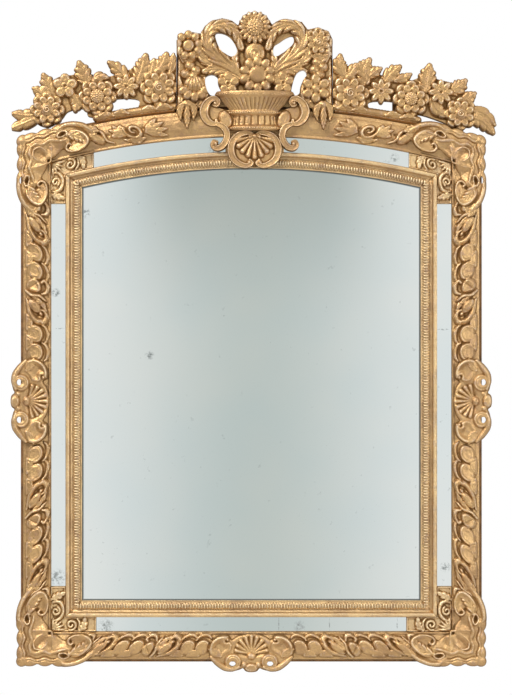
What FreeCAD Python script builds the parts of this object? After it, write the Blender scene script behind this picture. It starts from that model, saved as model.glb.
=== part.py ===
"""A giltwood wall mirror: a pine carcass with panelled back, six silvered plates, gilded mouldings,
carved corner and centre ornaments, and a three-board pierced cresting.

Millimetres. Z is up and the glass faces -Y. The wall plane is Y = 0, and the origin lies on it, on the
upright centre line, at the height of the two side cartouches. A depth is a distance in front of the wall.
"""
import FreeCAD
import Part

import math
import os

Vector = FreeCAD.Vector
forward = Vector(0, -1, 0)    # out of the wall, the way the glass faces
os.makedirs("parts", exist_ok=True)

# Sight sizes: what shows of the glass inside the mouldings
sight_half_width = 407.0
sight_drop = 480.0            # origin down to the bottom of the main plate
sight_rise = 560.0            # origin up to the crown of the main plate
arch_radius = 1824.0          # of the main plate's arched top
border_width = 36.0           # of the narrow plates all round

# Mouldings
inner_moulding_width = 39.0
outer_moulding_width = 66.0
carcass_margin = 7.0          # bare edge of the carcass outside the gilded moulding

# Glass
glass_thickness = 5.0
glass_lap = 7.0               # how far a moulding laps over a plate
glass_gap = 1.5               # edge of a plate to the moulding's tongue
glass_clearance = 0.3         # face of a plate to the lip in front of it

# Carcass
carcass_thickness = 24.0
carcass_ledge = 12.0          # how far the carcass reaches inside the main sight edge
mid_rail_width = 70.0
hanging_rail_width = 80.0
hanging_rail_height = 330.0   # origin up to its centre line
hanging_recess = 10.0         # its back lies this far in front of the wall
tenon_length = 60.0
tenon_thickness = 8.0
tenon_shoulder = 12.0
joint_clearance = 0.2
peg_radius = 4.0
peg_clearance = 0.1
peg_setback_share = 0.5       # of the tenon's length, from the shoulder to the peg
peg_inset_share = 0.25        # of a rail's width, from its edge to a peg

# Back panels
panel_thickness = 6.0
panel_depth = 13.0            # back face of the panels, from the wall
panel_tongue = 8.0            # how far a panel runs into its grooves
groove_clearance = 0.3
groove_room = 1.0             # past the panel's edge, so that it can swell

# Depths of the gilded front
seat_depth = 47.0             # ground that the applied ornaments sit on
inner_front = 46.0
inner_bead_front = 44.0
outer_edge_front = 43.0
outer_crown_front = 60.0
corner_panel_front = 40.0

# Corner panels: how far each runs from the border's outer corner, along a rail and along a stile
top_panel_rail_length = 103.0
top_panel_stile_length = 99.0
bottom_panel_rail_length = 109.0
bottom_panel_stile_length = 109.0

# Fits
fit_clearance = 0.3           # between ornaments and the mouldings that house them
cut_overrun = 300.0           # lets every cut run past the wood

# Cresting
crest_shift = 8.0             # the crest's centre line stands right of the frame's
crest_back = 10.0
wing_thickness = 24.0
crest_half_width = 188.0      # of the centre board, from its own centre line
wing_overhang = 29.0          # a wing's furthest leaf tip past the carcass edge
wing_height = 145.0           # arch to the highest leaf tip of a wing
crest_height = 228.0          # crown of the frame to the top flower's petals
flower_relief = 24.0          # how far a flower stands out of its board
crest_joint = 0.3             # seam between the three boards

# Hangers
ring_wire_radius = 2.5
ring_half_width = 20.0
ring_corner_radius = 6.0
ring_side = 4.0               # straight stretch between the corner and the half-round end
hinge_clearance = 0.1
strap_thickness = 2.0
strap_width = 30.0
strap_height = 44.0
eye_half_length = 13.0
hanger_inset = 95.0           # edge of the carcass opening to each hanger
hanger_lift_share = 0.12      # of the rail's width, from its centre line down to the hinge pin
screw_radius = 2.0
screw_head_radius = 4.0
screw_length = 14.0           # of the hangers' screws, into the rail and its strap

# Places that follow from the sizes above
arch_centre = sight_rise - arch_radius
inner_edge = sight_half_width + inner_moulding_width
border_edge = inner_edge + border_width
outer_edge = border_edge + outer_moulding_width
carcass_half = outer_edge + carcass_margin
carcass_inner = sight_half_width - carcass_ledge
inner_radius = arch_radius + inner_moulding_width
border_radius = inner_radius + border_width
outer_radius = border_radius + outer_moulding_width
carcass_radius = outer_radius + carcass_margin
glass_front = carcass_thickness + glass_thickness
lip_back = glass_front + glass_clearance
frame_crown = arch_centre + carcass_radius
border_bottom = -(sight_drop + inner_moulding_width + border_width)
outer_bottom = border_bottom - outer_moulding_width
frame_bottom = outer_bottom - carcass_margin
border_top_corner = arch_centre + math.sqrt(border_radius ** 2 - border_edge ** 2)
side_border_top = border_top_corner - top_panel_stile_length
side_border_drop = -(border_bottom + bottom_panel_stile_length)
bottom_border_half = border_edge - bottom_panel_rail_length
top_border_half = border_edge - top_panel_rail_length
wing_reach = carcass_half + wing_overhang - crest_half_width
hanger_spread = carcass_inner - hanger_inset


def point(x, z, depth=0.0):
    return Vector(x, -depth, z)


def line(a, b):
    return Part.LineSegment(a, b).toShape()


def arc(a, b, c):
    return Part.Arc(a, b, c).toShape()


def slab(edges, back, front):
    """The solid between two depths, from outline edges drawn on the wall plane."""
    face = Part.Face(Part.Wire(edges))
    face.translate(Vector(0, -back, 0))
    return face.extrude(Vector(0, back - front, 0))


def polygon(points, back, front):
    corners = [point(x, z) for x, z in points]
    return slab([line(a, b) for a, b in zip(corners, corners[1:] + corners[:1])], back, front)


def block(x0, x1, z0, z1, back, front):
    return polygon([(x0, z0), (x1, z0), (x1, z1), (x0, z1)], back, front)


def disc(x, z, radius, back, front):
    return Part.makeCylinder(radius, front - back, point(x, z, back), forward)


def arch_z(radius, x):
    """Height of the arch of that radius at x."""
    return arch_centre + math.sqrt(radius ** 2 - x ** 2)


def arch_edge(radius, x0, x1):
    middle = (x0 + x1) / 2
    ends = [point(x, arch_z(radius, x)) for x in (x0, middle, x1)]
    return arc(*ends)


def arch_band(low_radius, high_radius, x0, x1, back, front):
    """The stretch of arched board between two radii and two upright ends."""
    corners = [point(x, arch_z(r, x)) for r, x in
               ((high_radius, x1), (low_radius, x1), (low_radius, x0), (high_radius, x0))]
    edges = [arch_edge(high_radius, x0, x1), line(corners[0], corners[1]),
             arch_edge(low_radius, x1, x0), line(corners[2], corners[3])]
    return slab(edges, back, front)


def arched_panel(half_width, bottom, radius, back, front):
    """A board with upright sides, a straight foot and an arched top."""
    top = arch_z(radius, half_width)
    foot_left, foot_right = point(-half_width, bottom), point(half_width, bottom)
    edges = [arch_edge(radius, -half_width, half_width), line(point(half_width, top), foot_right),
             line(foot_right, foot_left), line(foot_left, point(-half_width, top))]
    return slab(edges, back, front)


def mirrored(shape):
    return shape.mirror(Vector(0, 0, 0), Vector(1, 0, 0))


def shifted(shape, x=0.0, z=0.0):
    moved = shape.copy()
    moved.translate(Vector(x, 0, z))
    return moved


def joined(shapes):
    return shapes[0].multiFuse(shapes[1:]).removeSplitter()


nodes = {}


def add(name, shape):
    """Keeps a finished piece under its name, a lone solid out of its compound."""
    nodes[name] = shape.Solids[0] if len(shape.Solids) == 1 else shape


# Back panels: thin boards that float in grooves of the carcass

panel_front = panel_depth + panel_thickness
mid_rail_half = mid_rail_width / 2
hanging_rail_low = hanging_rail_height - hanging_rail_width / 2
hanging_rail_high = hanging_rail_height + hanging_rail_width / 2
panel_levels = {"lower": (carcass_ledge - sight_drop, -mid_rail_half),
                "middle": (mid_rail_half, hanging_rail_low)}


def back_panels(margin, face_gap):
    """Each panel, grown by a margin past the opening and by a gap on both faces."""
    half = carcass_inner + margin
    back, front = panel_depth - face_gap, panel_front + face_gap
    panels = {name: block(-half, half, low - margin, high + margin, back, front)
              for name, (low, high) in panel_levels.items()}
    upper_radius = arch_radius - carcass_ledge + margin
    panels["upper"] = arched_panel(half, hanging_rail_high - margin, upper_radius, back, front)
    return panels


panel_grooves = list(back_panels(panel_tongue + groove_room, groove_clearance).values())
for name, panel in back_panels(panel_tongue, 0.0).items():
    add("back_panel_" + name, panel)


# Carcass: two stiles and four rails, tenoned and pegged

top_rail_low = arch_z(arch_radius - carcass_ledge, carcass_inner)
top_rail_high = arch_z(carcass_radius, carcass_inner)
rails = {"bottom_rail": (frame_bottom, carcass_ledge - sight_drop),
         "mid_rail": (-mid_rail_half, mid_rail_half),
         "hanging_rail": (hanging_rail_low, hanging_rail_high),
         "top_rail": (top_rail_low, top_rail_high)}
rail_backs = {"hanging_rail": hanging_recess}


def tenon(low, high, back, growth):
    """The right-hand tenon of a rail, grown all round for its mortise."""
    middle = (back + carcass_thickness) / 2
    half = tenon_thickness / 2 + growth
    return block(carcass_inner, carcass_inner + tenon_length + growth,
                 low + tenon_shoulder - growth, high - tenon_shoulder + growth, middle - half, middle + half)


def peg_places(low, high):
    x = carcass_inner + tenon_length * peg_setback_share
    inset = (high - low) * peg_inset_share
    return [(side * x, z) for side in (-1, 1) for z in (low + inset, high - inset)]


def pegs(radius):
    return [disc(x, z, radius, 0.0, carcass_thickness)
            for low, high in rails.values() for x, z in peg_places(low, high)]


def carcass():
    peg_holes = pegs(peg_radius + peg_clearance)
    for name, (low, high) in rails.items():
        back = rail_backs.get(name, 0.0)
        if name == "top_rail":
            rail = arch_band(arch_radius - carcass_ledge, carcass_radius, -carcass_inner, carcass_inner,
                             back, carcass_thickness)
        else:
            rail = block(-carcass_inner, carcass_inner, low, high, back, carcass_thickness)
        right = tenon(low, high, back, 0.0)
        rail = joined([rail, right, mirrored(right)])
        add("carcass_" + name, rail.cut(panel_grooves + peg_holes))
    foot, side = point(carcass_inner, frame_bottom), point(carcass_half, frame_bottom)
    high_side, high_foot = (point(x, arch_z(carcass_radius, x)) for x in (carcass_half, carcass_inner))
    stile = slab([line(foot, side), line(side, high_side),
                  arch_edge(carcass_radius, carcass_half, carcass_inner), line(high_foot, foot)],
                 0.0, carcass_thickness)
    mortises = [tenon(low, high, rail_backs.get(name, 0.0), joint_clearance)
                for name, (low, high) in rails.items()]
    stile = stile.cut(mortises + panel_grooves + peg_holes)
    add("carcass_right_stile", stile)
    add("carcass_left_stile", mirrored(stile))
    add("tenon_pegs", Part.makeCompound(pegs(peg_radius)))


carcass()


# Glass: one arched plate and five narrow border plates, all laid on the carcass front

shell_block_half = 70.0       # block between the two top border plates
main_half = sight_half_width + glass_lap


def glass():
    add("main_plate", arched_panel(main_half, -sight_drop - glass_lap, arch_radius + glass_lap,
                                   carcass_thickness, glass_front))
    right = block(inner_edge - glass_lap, border_edge + glass_lap, -side_border_drop - glass_lap,
                  side_border_top + glass_lap, carcass_thickness, glass_front)
    add("right_border_plate", right)
    add("left_border_plate", mirrored(right))
    half = bottom_border_half + glass_lap
    foot, head = border_bottom - glass_lap, border_bottom + border_width + glass_lap
    add("bottom_border_plate", block(-half, half, foot, head, carcass_thickness, glass_front))
    for name, side in (("top_left", -1), ("top_right", 1)):
        ends = (crest_shift + side * (shell_block_half - glass_lap), side * (top_border_half + glass_lap))
        add(name + "_border_plate", arch_band(inner_radius - glass_lap, border_radius + glass_lap,
                                              min(ends), max(ends), carcass_thickness, glass_front))


glass()


# Mouldings: profiles drawn as (distance out from the sight edge, depth), mitred at the corners

tongue_start = glass_lap + glass_gap
inner_fillet = 6.0            # plain edge beside the main plate
inner_bead_width = 13.0       # half-round that carries the carved gadroons
inner_lip_front = 37.0
inner_ledge_width = 9.0       # plain edge beside the border plates
outer_fillet = 9.0
outer_slope = 5.0             # from the fillet down to the start of the swelling
outer_swell_start_front = 41.0
outer_swell_end_front = 44.0
outer_swell_margin = 3.0      # flat past the swelling, at the outer edge
arch_spare_share = 1.2        # how far the arched lengths are struck before their mitres are cut


def inner_profile(place):
    """Closed profile edges of the inner moulding; place turns (width, depth) into a point."""
    bead_end = inner_fillet + inner_bead_width
    ledge = inner_moulding_width - inner_ledge_width
    bead_top = place(inner_fillet + inner_bead_width / 2, inner_bead_front)
    hollow_low = place((bead_end + ledge) / 2, inner_lip_front)
    outside, tongue_end = inner_moulding_width, inner_moulding_width - tongue_start
    p = [place(0, lip_back), place(0, inner_lip_front), place(inner_fillet, inner_lip_front),
         place(bead_end, inner_lip_front), place(ledge, inner_front), place(outside, inner_front),
         place(outside, lip_back), place(tongue_end, lip_back), place(tongue_end, carcass_thickness),
         place(tongue_start, carcass_thickness), place(tongue_start, lip_back)]
    edges = [line(a, b) for a, b in zip(p, p[1:] + p[:1])]
    edges[2] = arc(p[2], bead_top, p[3])
    edges[3] = arc(p[3], hollow_low, p[4])
    return edges


def outer_profile(place):
    swell_start = outer_fillet + outer_slope
    swell_end = outer_moulding_width - outer_swell_margin
    crown = place((swell_start + swell_end) / 2, outer_crown_front)
    p = [place(0, lip_back), place(0, outer_edge_front), place(outer_fillet, outer_edge_front),
         place(swell_start, outer_swell_start_front), place(swell_end, outer_swell_end_front),
         place(outer_moulding_width, outer_swell_end_front), place(outer_moulding_width, carcass_thickness),
         place(tongue_start, carcass_thickness), place(tongue_start, lip_back)]
    edges = [line(a, b) for a, b in zip(p, p[1:] + p[:1])]
    edges[3] = arc(p[3], crown, p[4])
    return edges


def beyond(a, b):
    """A thick wedge of cutting space on the left of the line from a to b, seen from the front."""
    (ax, az), (bx, bz) = a, b
    length = math.hypot(bx - ax, bz - az)
    ux, uz = (bx - ax) / length * cut_overrun, (bz - az) / length * cut_overrun
    near_a, near_b = (ax - ux, az - uz), (bx + ux, bz + uz)
    far_a, far_b = ((x - uz, z + ux) for x, z in (near_a, near_b))
    return polygon([near_b, far_b, far_a, near_a], -cut_overrun, cut_overrun)


def moulding_ring(name, profile, half, drop, radius, width):
    """Left, right, bottom and top lengths of one moulding."""
    outside, foot = half + width, -drop - width
    low_inner, low_outer = (half, -drop), (outside, foot)
    high_inner, high_outer = (half, arch_z(radius, half)), (outside, arch_z(radius + width, outside))

    def upright(w, d):
        return point(half + w, foot, d)

    def level(w, d):
        return point(-outside, -drop - w, d)

    def crown(w, d):
        return point(0, arch_centre + radius + w, d)

    right = Part.Face(Part.Wire(profile(upright))).extrude(Vector(0, 0, high_outer[1] - foot))
    right = right.cut([beyond(high_inner, high_outer), beyond(low_outer, low_inner)])
    bottom = Part.Face(Part.Wire(profile(level))).extrude(Vector(2 * outside, 0, 0))
    right_mitre = beyond(low_inner, low_outer)
    bottom = bottom.cut([right_mitre, mirrored(right_mitre)])
    half_turn = math.degrees(math.asin(outside / (radius + width))) * arch_spare_share
    face = Part.Face(Part.Wire(profile(crown)))
    face.rotate(point(0, arch_centre), Vector(0, 1, 0), -half_turn)
    top = face.revolve(point(0, arch_centre), Vector(0, 1, 0), 2 * half_turn)
    top_mitre = beyond(high_outer, high_inner)
    top = top.cut([top_mitre, mirrored(top_mitre)])
    return {name + "_right": right, name + "_left": mirrored(right),
            name + "_bottom": bottom, name + "_top": top}


mouldings = moulding_ring("inner_moulding", inner_profile, sight_half_width, sight_drop, arch_radius,
                          inner_moulding_width)
mouldings.update(moulding_ring("outer_moulding", outer_profile, border_edge,
                               sight_drop + inner_moulding_width + border_width, border_radius,
                               outer_moulding_width))


# Corner panels: carved L-shaped pieces that close the border between the narrow plates

def end_rebate(x0, x1, z0, z1):
    """Room under a panel's end for the plate that it laps over."""
    return block(x0, x1, z0, z1, carcass_thickness, lip_back)


def corner_panels():
    x0, x1 = inner_edge + fit_clearance, border_edge - fit_clearance
    low_inner = border_bottom + border_width - fit_clearance
    low_outer = border_bottom + fit_clearance
    outline = [(x0, -side_border_drop), (x0, low_inner), (bottom_border_half, low_inner),
               (bottom_border_half, low_outer), (x1, low_outer), (x1, -side_border_drop)]
    bottom = polygon(outline, carcass_thickness, corner_panel_front)
    end = bottom_border_half
    bottom = bottom.cut([end_rebate(x0, x1, -side_border_drop - tongue_start, -side_border_drop),
                         end_rebate(end, end + tongue_start, low_outer, low_inner)])
    add("bottom_right_corner_panel", bottom)
    add("bottom_left_corner_panel", mirrored(bottom))
    r0, r1 = inner_radius + fit_clearance, border_radius - fit_clearance
    end = top_border_half
    foot_out, foot_in = point(x1, side_border_top), point(x0, side_border_top)
    edges = [line(foot_out, foot_in), line(foot_in, point(x0, arch_z(r0, x0))), arch_edge(r0, x0, end),
             line(point(end, arch_z(r0, end)), point(end, arch_z(r1, end))), arch_edge(r1, end, x1),
             line(point(x1, arch_z(r1, x1)), foot_out)]
    top = slab(edges, carcass_thickness, corner_panel_front)
    top = top.cut([end_rebate(x0, x1, side_border_top, side_border_top + tongue_start),
                   end_rebate(end, end + tongue_start, side_border_top, frame_crown)])
    add("top_right_corner_panel", top)
    add("top_left_corner_panel", mirrored(top))


corner_panels()


# Carved forms that the ornaments share

petal_valley_share = 0.8      # radius between two petals, of the flower's radius
inner_petals_share = 0.62
flower_eye_share = 0.36
flower_eye_top_share = 0.6
petal_level_share = 0.4       # of a flower's relief, the front of its outer petals
inner_level_share = 0.72


def rosette_edges(x, z, radius, petals):
    """A round outline of bulging petals."""
    step = 2 * math.pi / petals
    valley = radius * petal_valley_share

    def spot(r, turn):
        return point(x + r * math.sin(turn), z + r * math.cos(turn))

    return [arc(spot(valley, k * step), spot(radius, (k + 0.5) * step), spot(valley, (k + 1) * step))
            for k in range(petals)]


def flower(x, z, radius, petals, back, ground, relief):
    """Two tiers of petals and a coned eye, on a stem that reaches back into the board."""
    low, high, top = (ground + relief * share for share in (petal_level_share, inner_level_share, 1))
    outer = slab(rosette_edges(x, z, radius, petals), back, low)
    inner = slab(rosette_edges(x, z, radius * inner_petals_share, petals), back, high)
    eye_foot = radius * flower_eye_share
    eye = Part.makeCone(eye_foot, eye_foot * flower_eye_top_share, top - low, point(x, z, low), forward)
    return [outer, inner, eye]


def leaf(base, tip, width, back, front):
    """A pointed leaf, two arcs from base to tip."""
    (bx, bz), (tx, tz) = base, tip
    length = math.hypot(tx - bx, tz - bz)
    nx, nz = -(tz - bz) / length * width / 2, (tx - bx) / length * width / 2
    mx, mz = (bx + tx) / 2, (bz + tz) / 2
    start, end = point(bx, bz), point(tx, tz)
    sides = point(mx + nx, mz + nz), point(mx - nx, mz - nz)
    return slab([arc(start, sides[0], end), arc(end, sides[1], start)], back, front)


def bar(a, b, width, back, front):
    """A straight stem between two places."""
    (ax, az), (bx, bz) = a, b
    length = math.hypot(bx - ax, bz - az)
    nx, nz = -(bz - az) / length * width / 2, (bx - ax) / length * width / 2
    corners = [(ax + nx, az + nz), (bx + nx, bz + nz), (bx - nx, bz - nz), (ax - nx, az - nz)]
    return polygon(corners, back, front)


# Corner cartouches: an acanthus arm along the stile and one along the rail, meeting in a ruffled boss

arm_length = 188.0            # corner of the moulding to an arm's tip
arm_width = 58.0
arm_centre = 27.0             # outer edge of the moulding to an arm's centre line
boss_radius = 47.0
boss_lobes = 9
cartouche_front = 62.0
cartouche_rib_front = 70.0
arm_rib_share = 0.55          # width of the raised midrib, of the arm's width


def corner_cartouche(corner, stile_turn, rail_turn):
    """An ornament at a moulding's outer corner; turns are the arms' directions, in degrees from +X."""
    layers = []
    turns = [math.radians(t) for t in (stile_turn, rail_turn)]
    inward = [sum(f(t) for t in turns) * arm_centre for f in (math.cos, math.sin)]
    heart = (corner[0] + inward[0], corner[1] + inward[1])
    for turn in turns:
        ahead = (math.cos(turn), math.sin(turn))
        tip = tuple(h + a * (arm_length - arm_centre) for h, a in zip(heart, ahead))
        base = tuple(h - a * arm_centre for h, a in zip(heart, ahead))
        layers.append(leaf(base, tip, arm_width, seat_depth, cartouche_front))
        layers.append(leaf(base, tip, arm_width * arm_rib_share, seat_depth, cartouche_rib_front))
    layers.append(slab(rosette_edges(*heart, boss_radius, boss_lobes), seat_depth, cartouche_front))
    return joined(layers)


def corner_cartouches():
    low = (outer_edge, outer_bottom)
    high = (outer_edge, arch_z(outer_radius, outer_edge))
    arch_turn = 180 - math.degrees(math.asin(outer_edge / outer_radius))
    made = {"bottom_right": corner_cartouche(low, 90, 180),
            "top_right": corner_cartouche(high, -90, arch_turn)}
    for name, shape in made.items():
        add(name + "_cartouche", shape)
        add(name.replace("right", "left") + "_cartouche", mirrored(shape))


corner_cartouches()


# Side and bottom cartouches: a shell between two pierced volutes that stand past the frame's edge

cartouche_half_length = 96.0
cartouche_overhang = 22.0     # past the carcass edge
volute_spread = 46.0          # centre of the cartouche to each volute
volute_radius = 23.0
volute_hole_radius = 6.0
cartouche_heart_radius = 40.0
shell_lobes = 7
lip_radius = 18.0             # rounded lip between the volutes


def edge_cartouche():
    """Drawn with the frame's edge along X and the outside below; the moulding's edge is at Z = 0."""
    reach = carcass_margin + cartouche_overhang
    heart = outer_moulding_width / 2
    volute_z = volute_radius - reach
    fan = rosette_edges(0, heart, cartouche_heart_radius, shell_lobes)
    layers = [slab(fan, seat_depth, cartouche_rib_front)]
    layers.append(disc(0, lip_radius - reach, lip_radius, seat_depth, cartouche_front))
    layers.append(bar((0, lip_radius - reach), (0, heart), lip_radius, seat_depth, cartouche_front))
    for side in (-1, 1):
        volute, root = (side * volute_spread, volute_z), (side * volute_spread / 2, heart)
        tip = (side * cartouche_half_length, heart)
        layers.append(disc(*volute, volute_radius, seat_depth, cartouche_front))
        layers.append(leaf((0, heart), tip, arm_width, seat_depth, cartouche_front))
        layers.append(bar(volute, root, volute_radius, seat_depth, cartouche_front))
    solid = joined(layers)
    holes = [disc(side * volute_spread, volute_z - volute_hole_radius / 2, volute_hole_radius,
                  seat_depth - cut_overrun, seat_depth + cut_overrun) for side in (-1, 1)]
    return solid.cut(holes)


def edge_cartouches():
    base = edge_cartouche()
    add("bottom_cartouche", shifted(base, z=outer_bottom))
    right = base.copy()
    right.rotate(Vector(0, 0, 0), forward, 90)
    right = shifted(right, x=outer_edge)
    add("right_cartouche", right)
    add("left_cartouche", mirrored(right))


edge_cartouches()


# Shell below the basket: a fan of ribs in a scrolled surround, with a block behind it that closes the border

shell_drop = 106.0            # crown of the frame down to the shell's centre
shell_radius = 45.0
shell_side_spread = 33.0      # centre to the scrolls at its sides
shell_side_radius = 32.0
shell_ground_front = 58.0
shell_ribs = 9
shell_fan_share = 0.42        # of a full turn, the fan's opening
rib_length = 58.0
rib_hub_radius = 2.0
rib_end_radius = 7.0
hub_rise_share = 0.75         # of the shell's radius, centre up to the fan's hub


def shell():
    x, z = crest_shift, frame_crown - shell_drop
    stock = arch_band(inner_radius + fit_clearance, border_radius - fit_clearance, x - shell_block_half,
                      x + shell_block_half, carcass_thickness, seat_depth)
    ends = [(x - shell_block_half, x - shell_block_half + tongue_start),
            (x + shell_block_half - tongue_start, x + shell_block_half)]
    stock = stock.cut([end_rebate(x0, x1, side_border_top, frame_crown) for x0, x1 in ends])
    layers = [stock, disc(x, z, shell_radius, seat_depth, shell_ground_front)]
    for side in (-1, 1):
        scroll_x = x + side * shell_side_spread
        layers.append(disc(scroll_x, z, shell_side_radius, seat_depth, shell_ground_front))
    hub = point(x, z + shell_radius * hub_rise_share, shell_ground_front)
    for k in range(shell_ribs):
        turn = 2 * math.pi * shell_fan_share * (k / (shell_ribs - 1) - 0.5)
        layers.append(Part.makeCone(rib_hub_radius, rib_end_radius, rib_length, hub,
                                    Vector(math.sin(turn), 0, -math.cos(turn))))
    add("shell", joined(layers))


shell()


# Basket: a half-round fluted body between two bands, carved solid and glued to the rail and the crest

basket_drop = 60.0            # crown of the frame down to the basket's foot
basket_height = 94.0
basket_half_width = 94.0
basket_bulge = 40.0
basket_level_shares = ((0.0, 0.62, 0.7), (0.12, 0.62, 0.7), (0.16, 0.56, 0.6), (0.5, 0.57, 0.62),
                       (0.54, 0.62, 0.68), (0.8, 0.86, 0.88), (0.88, 0.94, 0.94), (1.0, 1.0, 1.0))


def basket():
    foot = frame_crown - basket_drop
    rings = []
    for height_share, width_share, bulge_share in basket_level_shares:
        z, half = foot + basket_height * height_share, basket_half_width * width_share
        left, right = (point(crest_shift + side * half, z, seat_depth) for side in (-1, 1))
        front = point(crest_shift, z, seat_depth + basket_bulge * bulge_share)
        rings.append(Part.Wire([arc(left, front, right), line(right, left)]))
    add("basket", Part.makeLoft(rings, True, True))


basket()


# Scrolls beside the basket: a C-shaped handle that runs down into a volute over the top border plate

handle_spread = 100.0         # crest centre to the centre of the C
handle_drop = 17.0            # crown of the frame down to it
handle_radius = 26.0
handle_width = 16.0
volute_drop = 75.0            # crown of the frame down to the volute's centre
volute_spread_in = 91.0
volute_bend_radius = 21.0
volute_width = 13.0
scroll_eye_radius = 9.0
scroll_front = 60.0


def scroll(x, z, radius, width, start, end, growth):
    """A flat curved band about a centre, with a round eye at both ends; angles in degrees from +X.

    Growth widens it all round, for the room that it needs.
    """
    def spot(r, turn):
        return point(x + r * math.cos(math.radians(turn)), z + r * math.sin(math.radians(turn)))

    half, middle = width / 2 + growth, (start + end) / 2
    small, large, front = radius - half, radius + half, scroll_front + growth
    edges = [arc(spot(large, start), spot(large, middle), spot(large, end)),
             line(spot(large, end), spot(small, end)),
             arc(spot(small, end), spot(small, middle), spot(small, start)),
             line(spot(small, start), spot(large, start))]
    band = slab(edges, seat_depth, front)
    eyes = [spot(radius, turn) for turn in (start, end)]
    return [band] + [disc(eye.x, eye.z, scroll_eye_radius + growth, seat_depth, front) for eye in eyes]


def basket_scrolls(growth):
    handle = scroll(handle_spread, -handle_drop, handle_radius, handle_width, -90, 90, growth)
    volute = scroll(volute_spread_in, -volute_drop, volute_bend_radius, volute_width, 90, 270, growth)
    right = joined(handle + volute)
    return {name: shifted(shape, x=crest_shift, z=frame_crown)
            for name, shape in (("right", right), ("left", mirrored(right)))}


for name, shape in basket_scrolls(0.0).items():
    add("basket_scroll_" + name, shape)


# Cresting: a carved centre board and two wings, standing on the arched top edge of the frame

# Flowers from the centre outwards: along the wing's reach, up its height, radius of its height, petals
wing_flower_shares = ((0.107, 0.352, 0.324, 8), (0.302, 0.455, 0.207, 8), (0.48, 0.4, 0.31, 9),
                      (0.668, 0.634, 0.207, 5), (0.785, 0.348, 0.286, 8))
# Leaves: the flower each springs from, then its tip along the reach and up the height
wing_leaf_shares = ((4, 1.0, 0.237), (4, 0.985, 0.451), (4, 0.795, 0.941), (4, 0.875, 0.708),
                    (2, 0.597, 1.0), (1, 0.405, 0.916), (1, 0.195, 0.944), (0, 0.06, 0.948))
wing_leaf_width_share = 0.2   # of the wing's height
wing_stem_share = 0.14        # of the wing's height, the width of the stems behind the flowers
wing_foot_share = 0.47        # of the wing's reach, the strip that stands on the frame
wing_foot_height = 18.0
# Flowers of the centre board: across its half width, up its height, radius of its height, petals
centre_flower_shares = ((0.0, 0.833, 0.167, 14), (0.0, 0.57, 0.105, 6), (0.032, 0.33, 0.172, 8),
                        (-0.34, 0.256, 0.1, 5), (0.367, 0.256, 0.1, 5), (-0.824, 0.662, 0.136, 8),
                        (0.824, 0.662, 0.136, 8), (-0.824, 0.377, 0.08, 5), (0.824, 0.377, 0.08, 5),
                        (-0.769, 0.158, 0.136, 8), (0.769, 0.158, 0.136, 8))
centre_base_share = 0.16      # of the crest's height, the solid foot of the centre board
side_column_shares = (0.66, 1.0, 0.66)     # inner and outer edge, of the half width, and height
middle_column_shares = (0.2, 0.8)          # half width and height
loop_centre_shares = (0.42, 0.675)
loop_radius = 53.0
loop_width = 23.0             # of the acanthus leaf that bends into the loop
spray_shares = (0.85, 0.42, 0.1, 0.42)     # lower acanthus leaf, from its base to its tip
spray_width = 42.0
husk_shares = (0.867, 0.08, -0.21)         # pendant leaf: place, top and tip
husk_width = 26.0


def above_frame(shape):
    """Trims a crest board to the stepped, arched top edge of the frame."""
    step = carcass_thickness + crest_joint
    return shape.cut([disc(0, arch_centre, carcass_radius + crest_joint, -cut_overrun, step),
                      disc(0, arch_centre, outer_radius + crest_joint, step, seat_depth)])


def crest_place(width_share, height_share):
    return crest_shift + crest_half_width * width_share, frame_crown + crest_height * height_share


def crest_block(x0_share, x1_share, top_share):
    x0, x1 = sorted(crest_place(share, 0)[0] for share in (x0_share, x1_share))
    low = frame_crown - crest_height
    return block(x0, x1, low, crest_place(0, top_share)[1], crest_back, seat_depth)


def crest_centre():
    board = [crest_block(-1, 1, centre_base_share),
             crest_block(-middle_column_shares[0], middle_column_shares[0], middle_column_shares[1])]
    inner, outer, height = side_column_shares
    for side in (-1, 1):
        board.append(crest_block(side * inner, side * outer, height))
        x, z = crest_place(side * loop_centre_shares[0], loop_centre_shares[1])
        loop = disc(x, z, loop_radius, crest_back, seat_depth)
        board.append(loop.cut(disc(x, z, loop_radius - loop_width, crest_back, seat_depth)))
        base, tip = (crest_place(side * spray_shares[k], spray_shares[k + 1]) for k in (0, 2))
        board.append(leaf(base, tip, spray_width, crest_back, seat_depth))
    for width_share, height_share, radius_share, petals in centre_flower_shares:
        x, z = crest_place(width_share, height_share)
        board += flower(x, z, crest_height * radius_share, petals, crest_back, seat_depth, flower_relief)
    solid = above_frame(joined(board))
    place, top, tip = husk_shares
    husks = [leaf(crest_place(side * place, top), crest_place(side * place, tip), husk_width, seat_depth,
                  scroll_front) for side in (-1, 1)]
    add("crest_centre", joined([solid] + husks).cut(list(basket_scrolls(fit_clearance).values())))


def wing_place(side, reach_share, height_share):
    x = crest_shift + side * (crest_half_width + wing_reach * reach_share)
    return x, arch_z(carcass_radius, x) + wing_height * height_share


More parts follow.
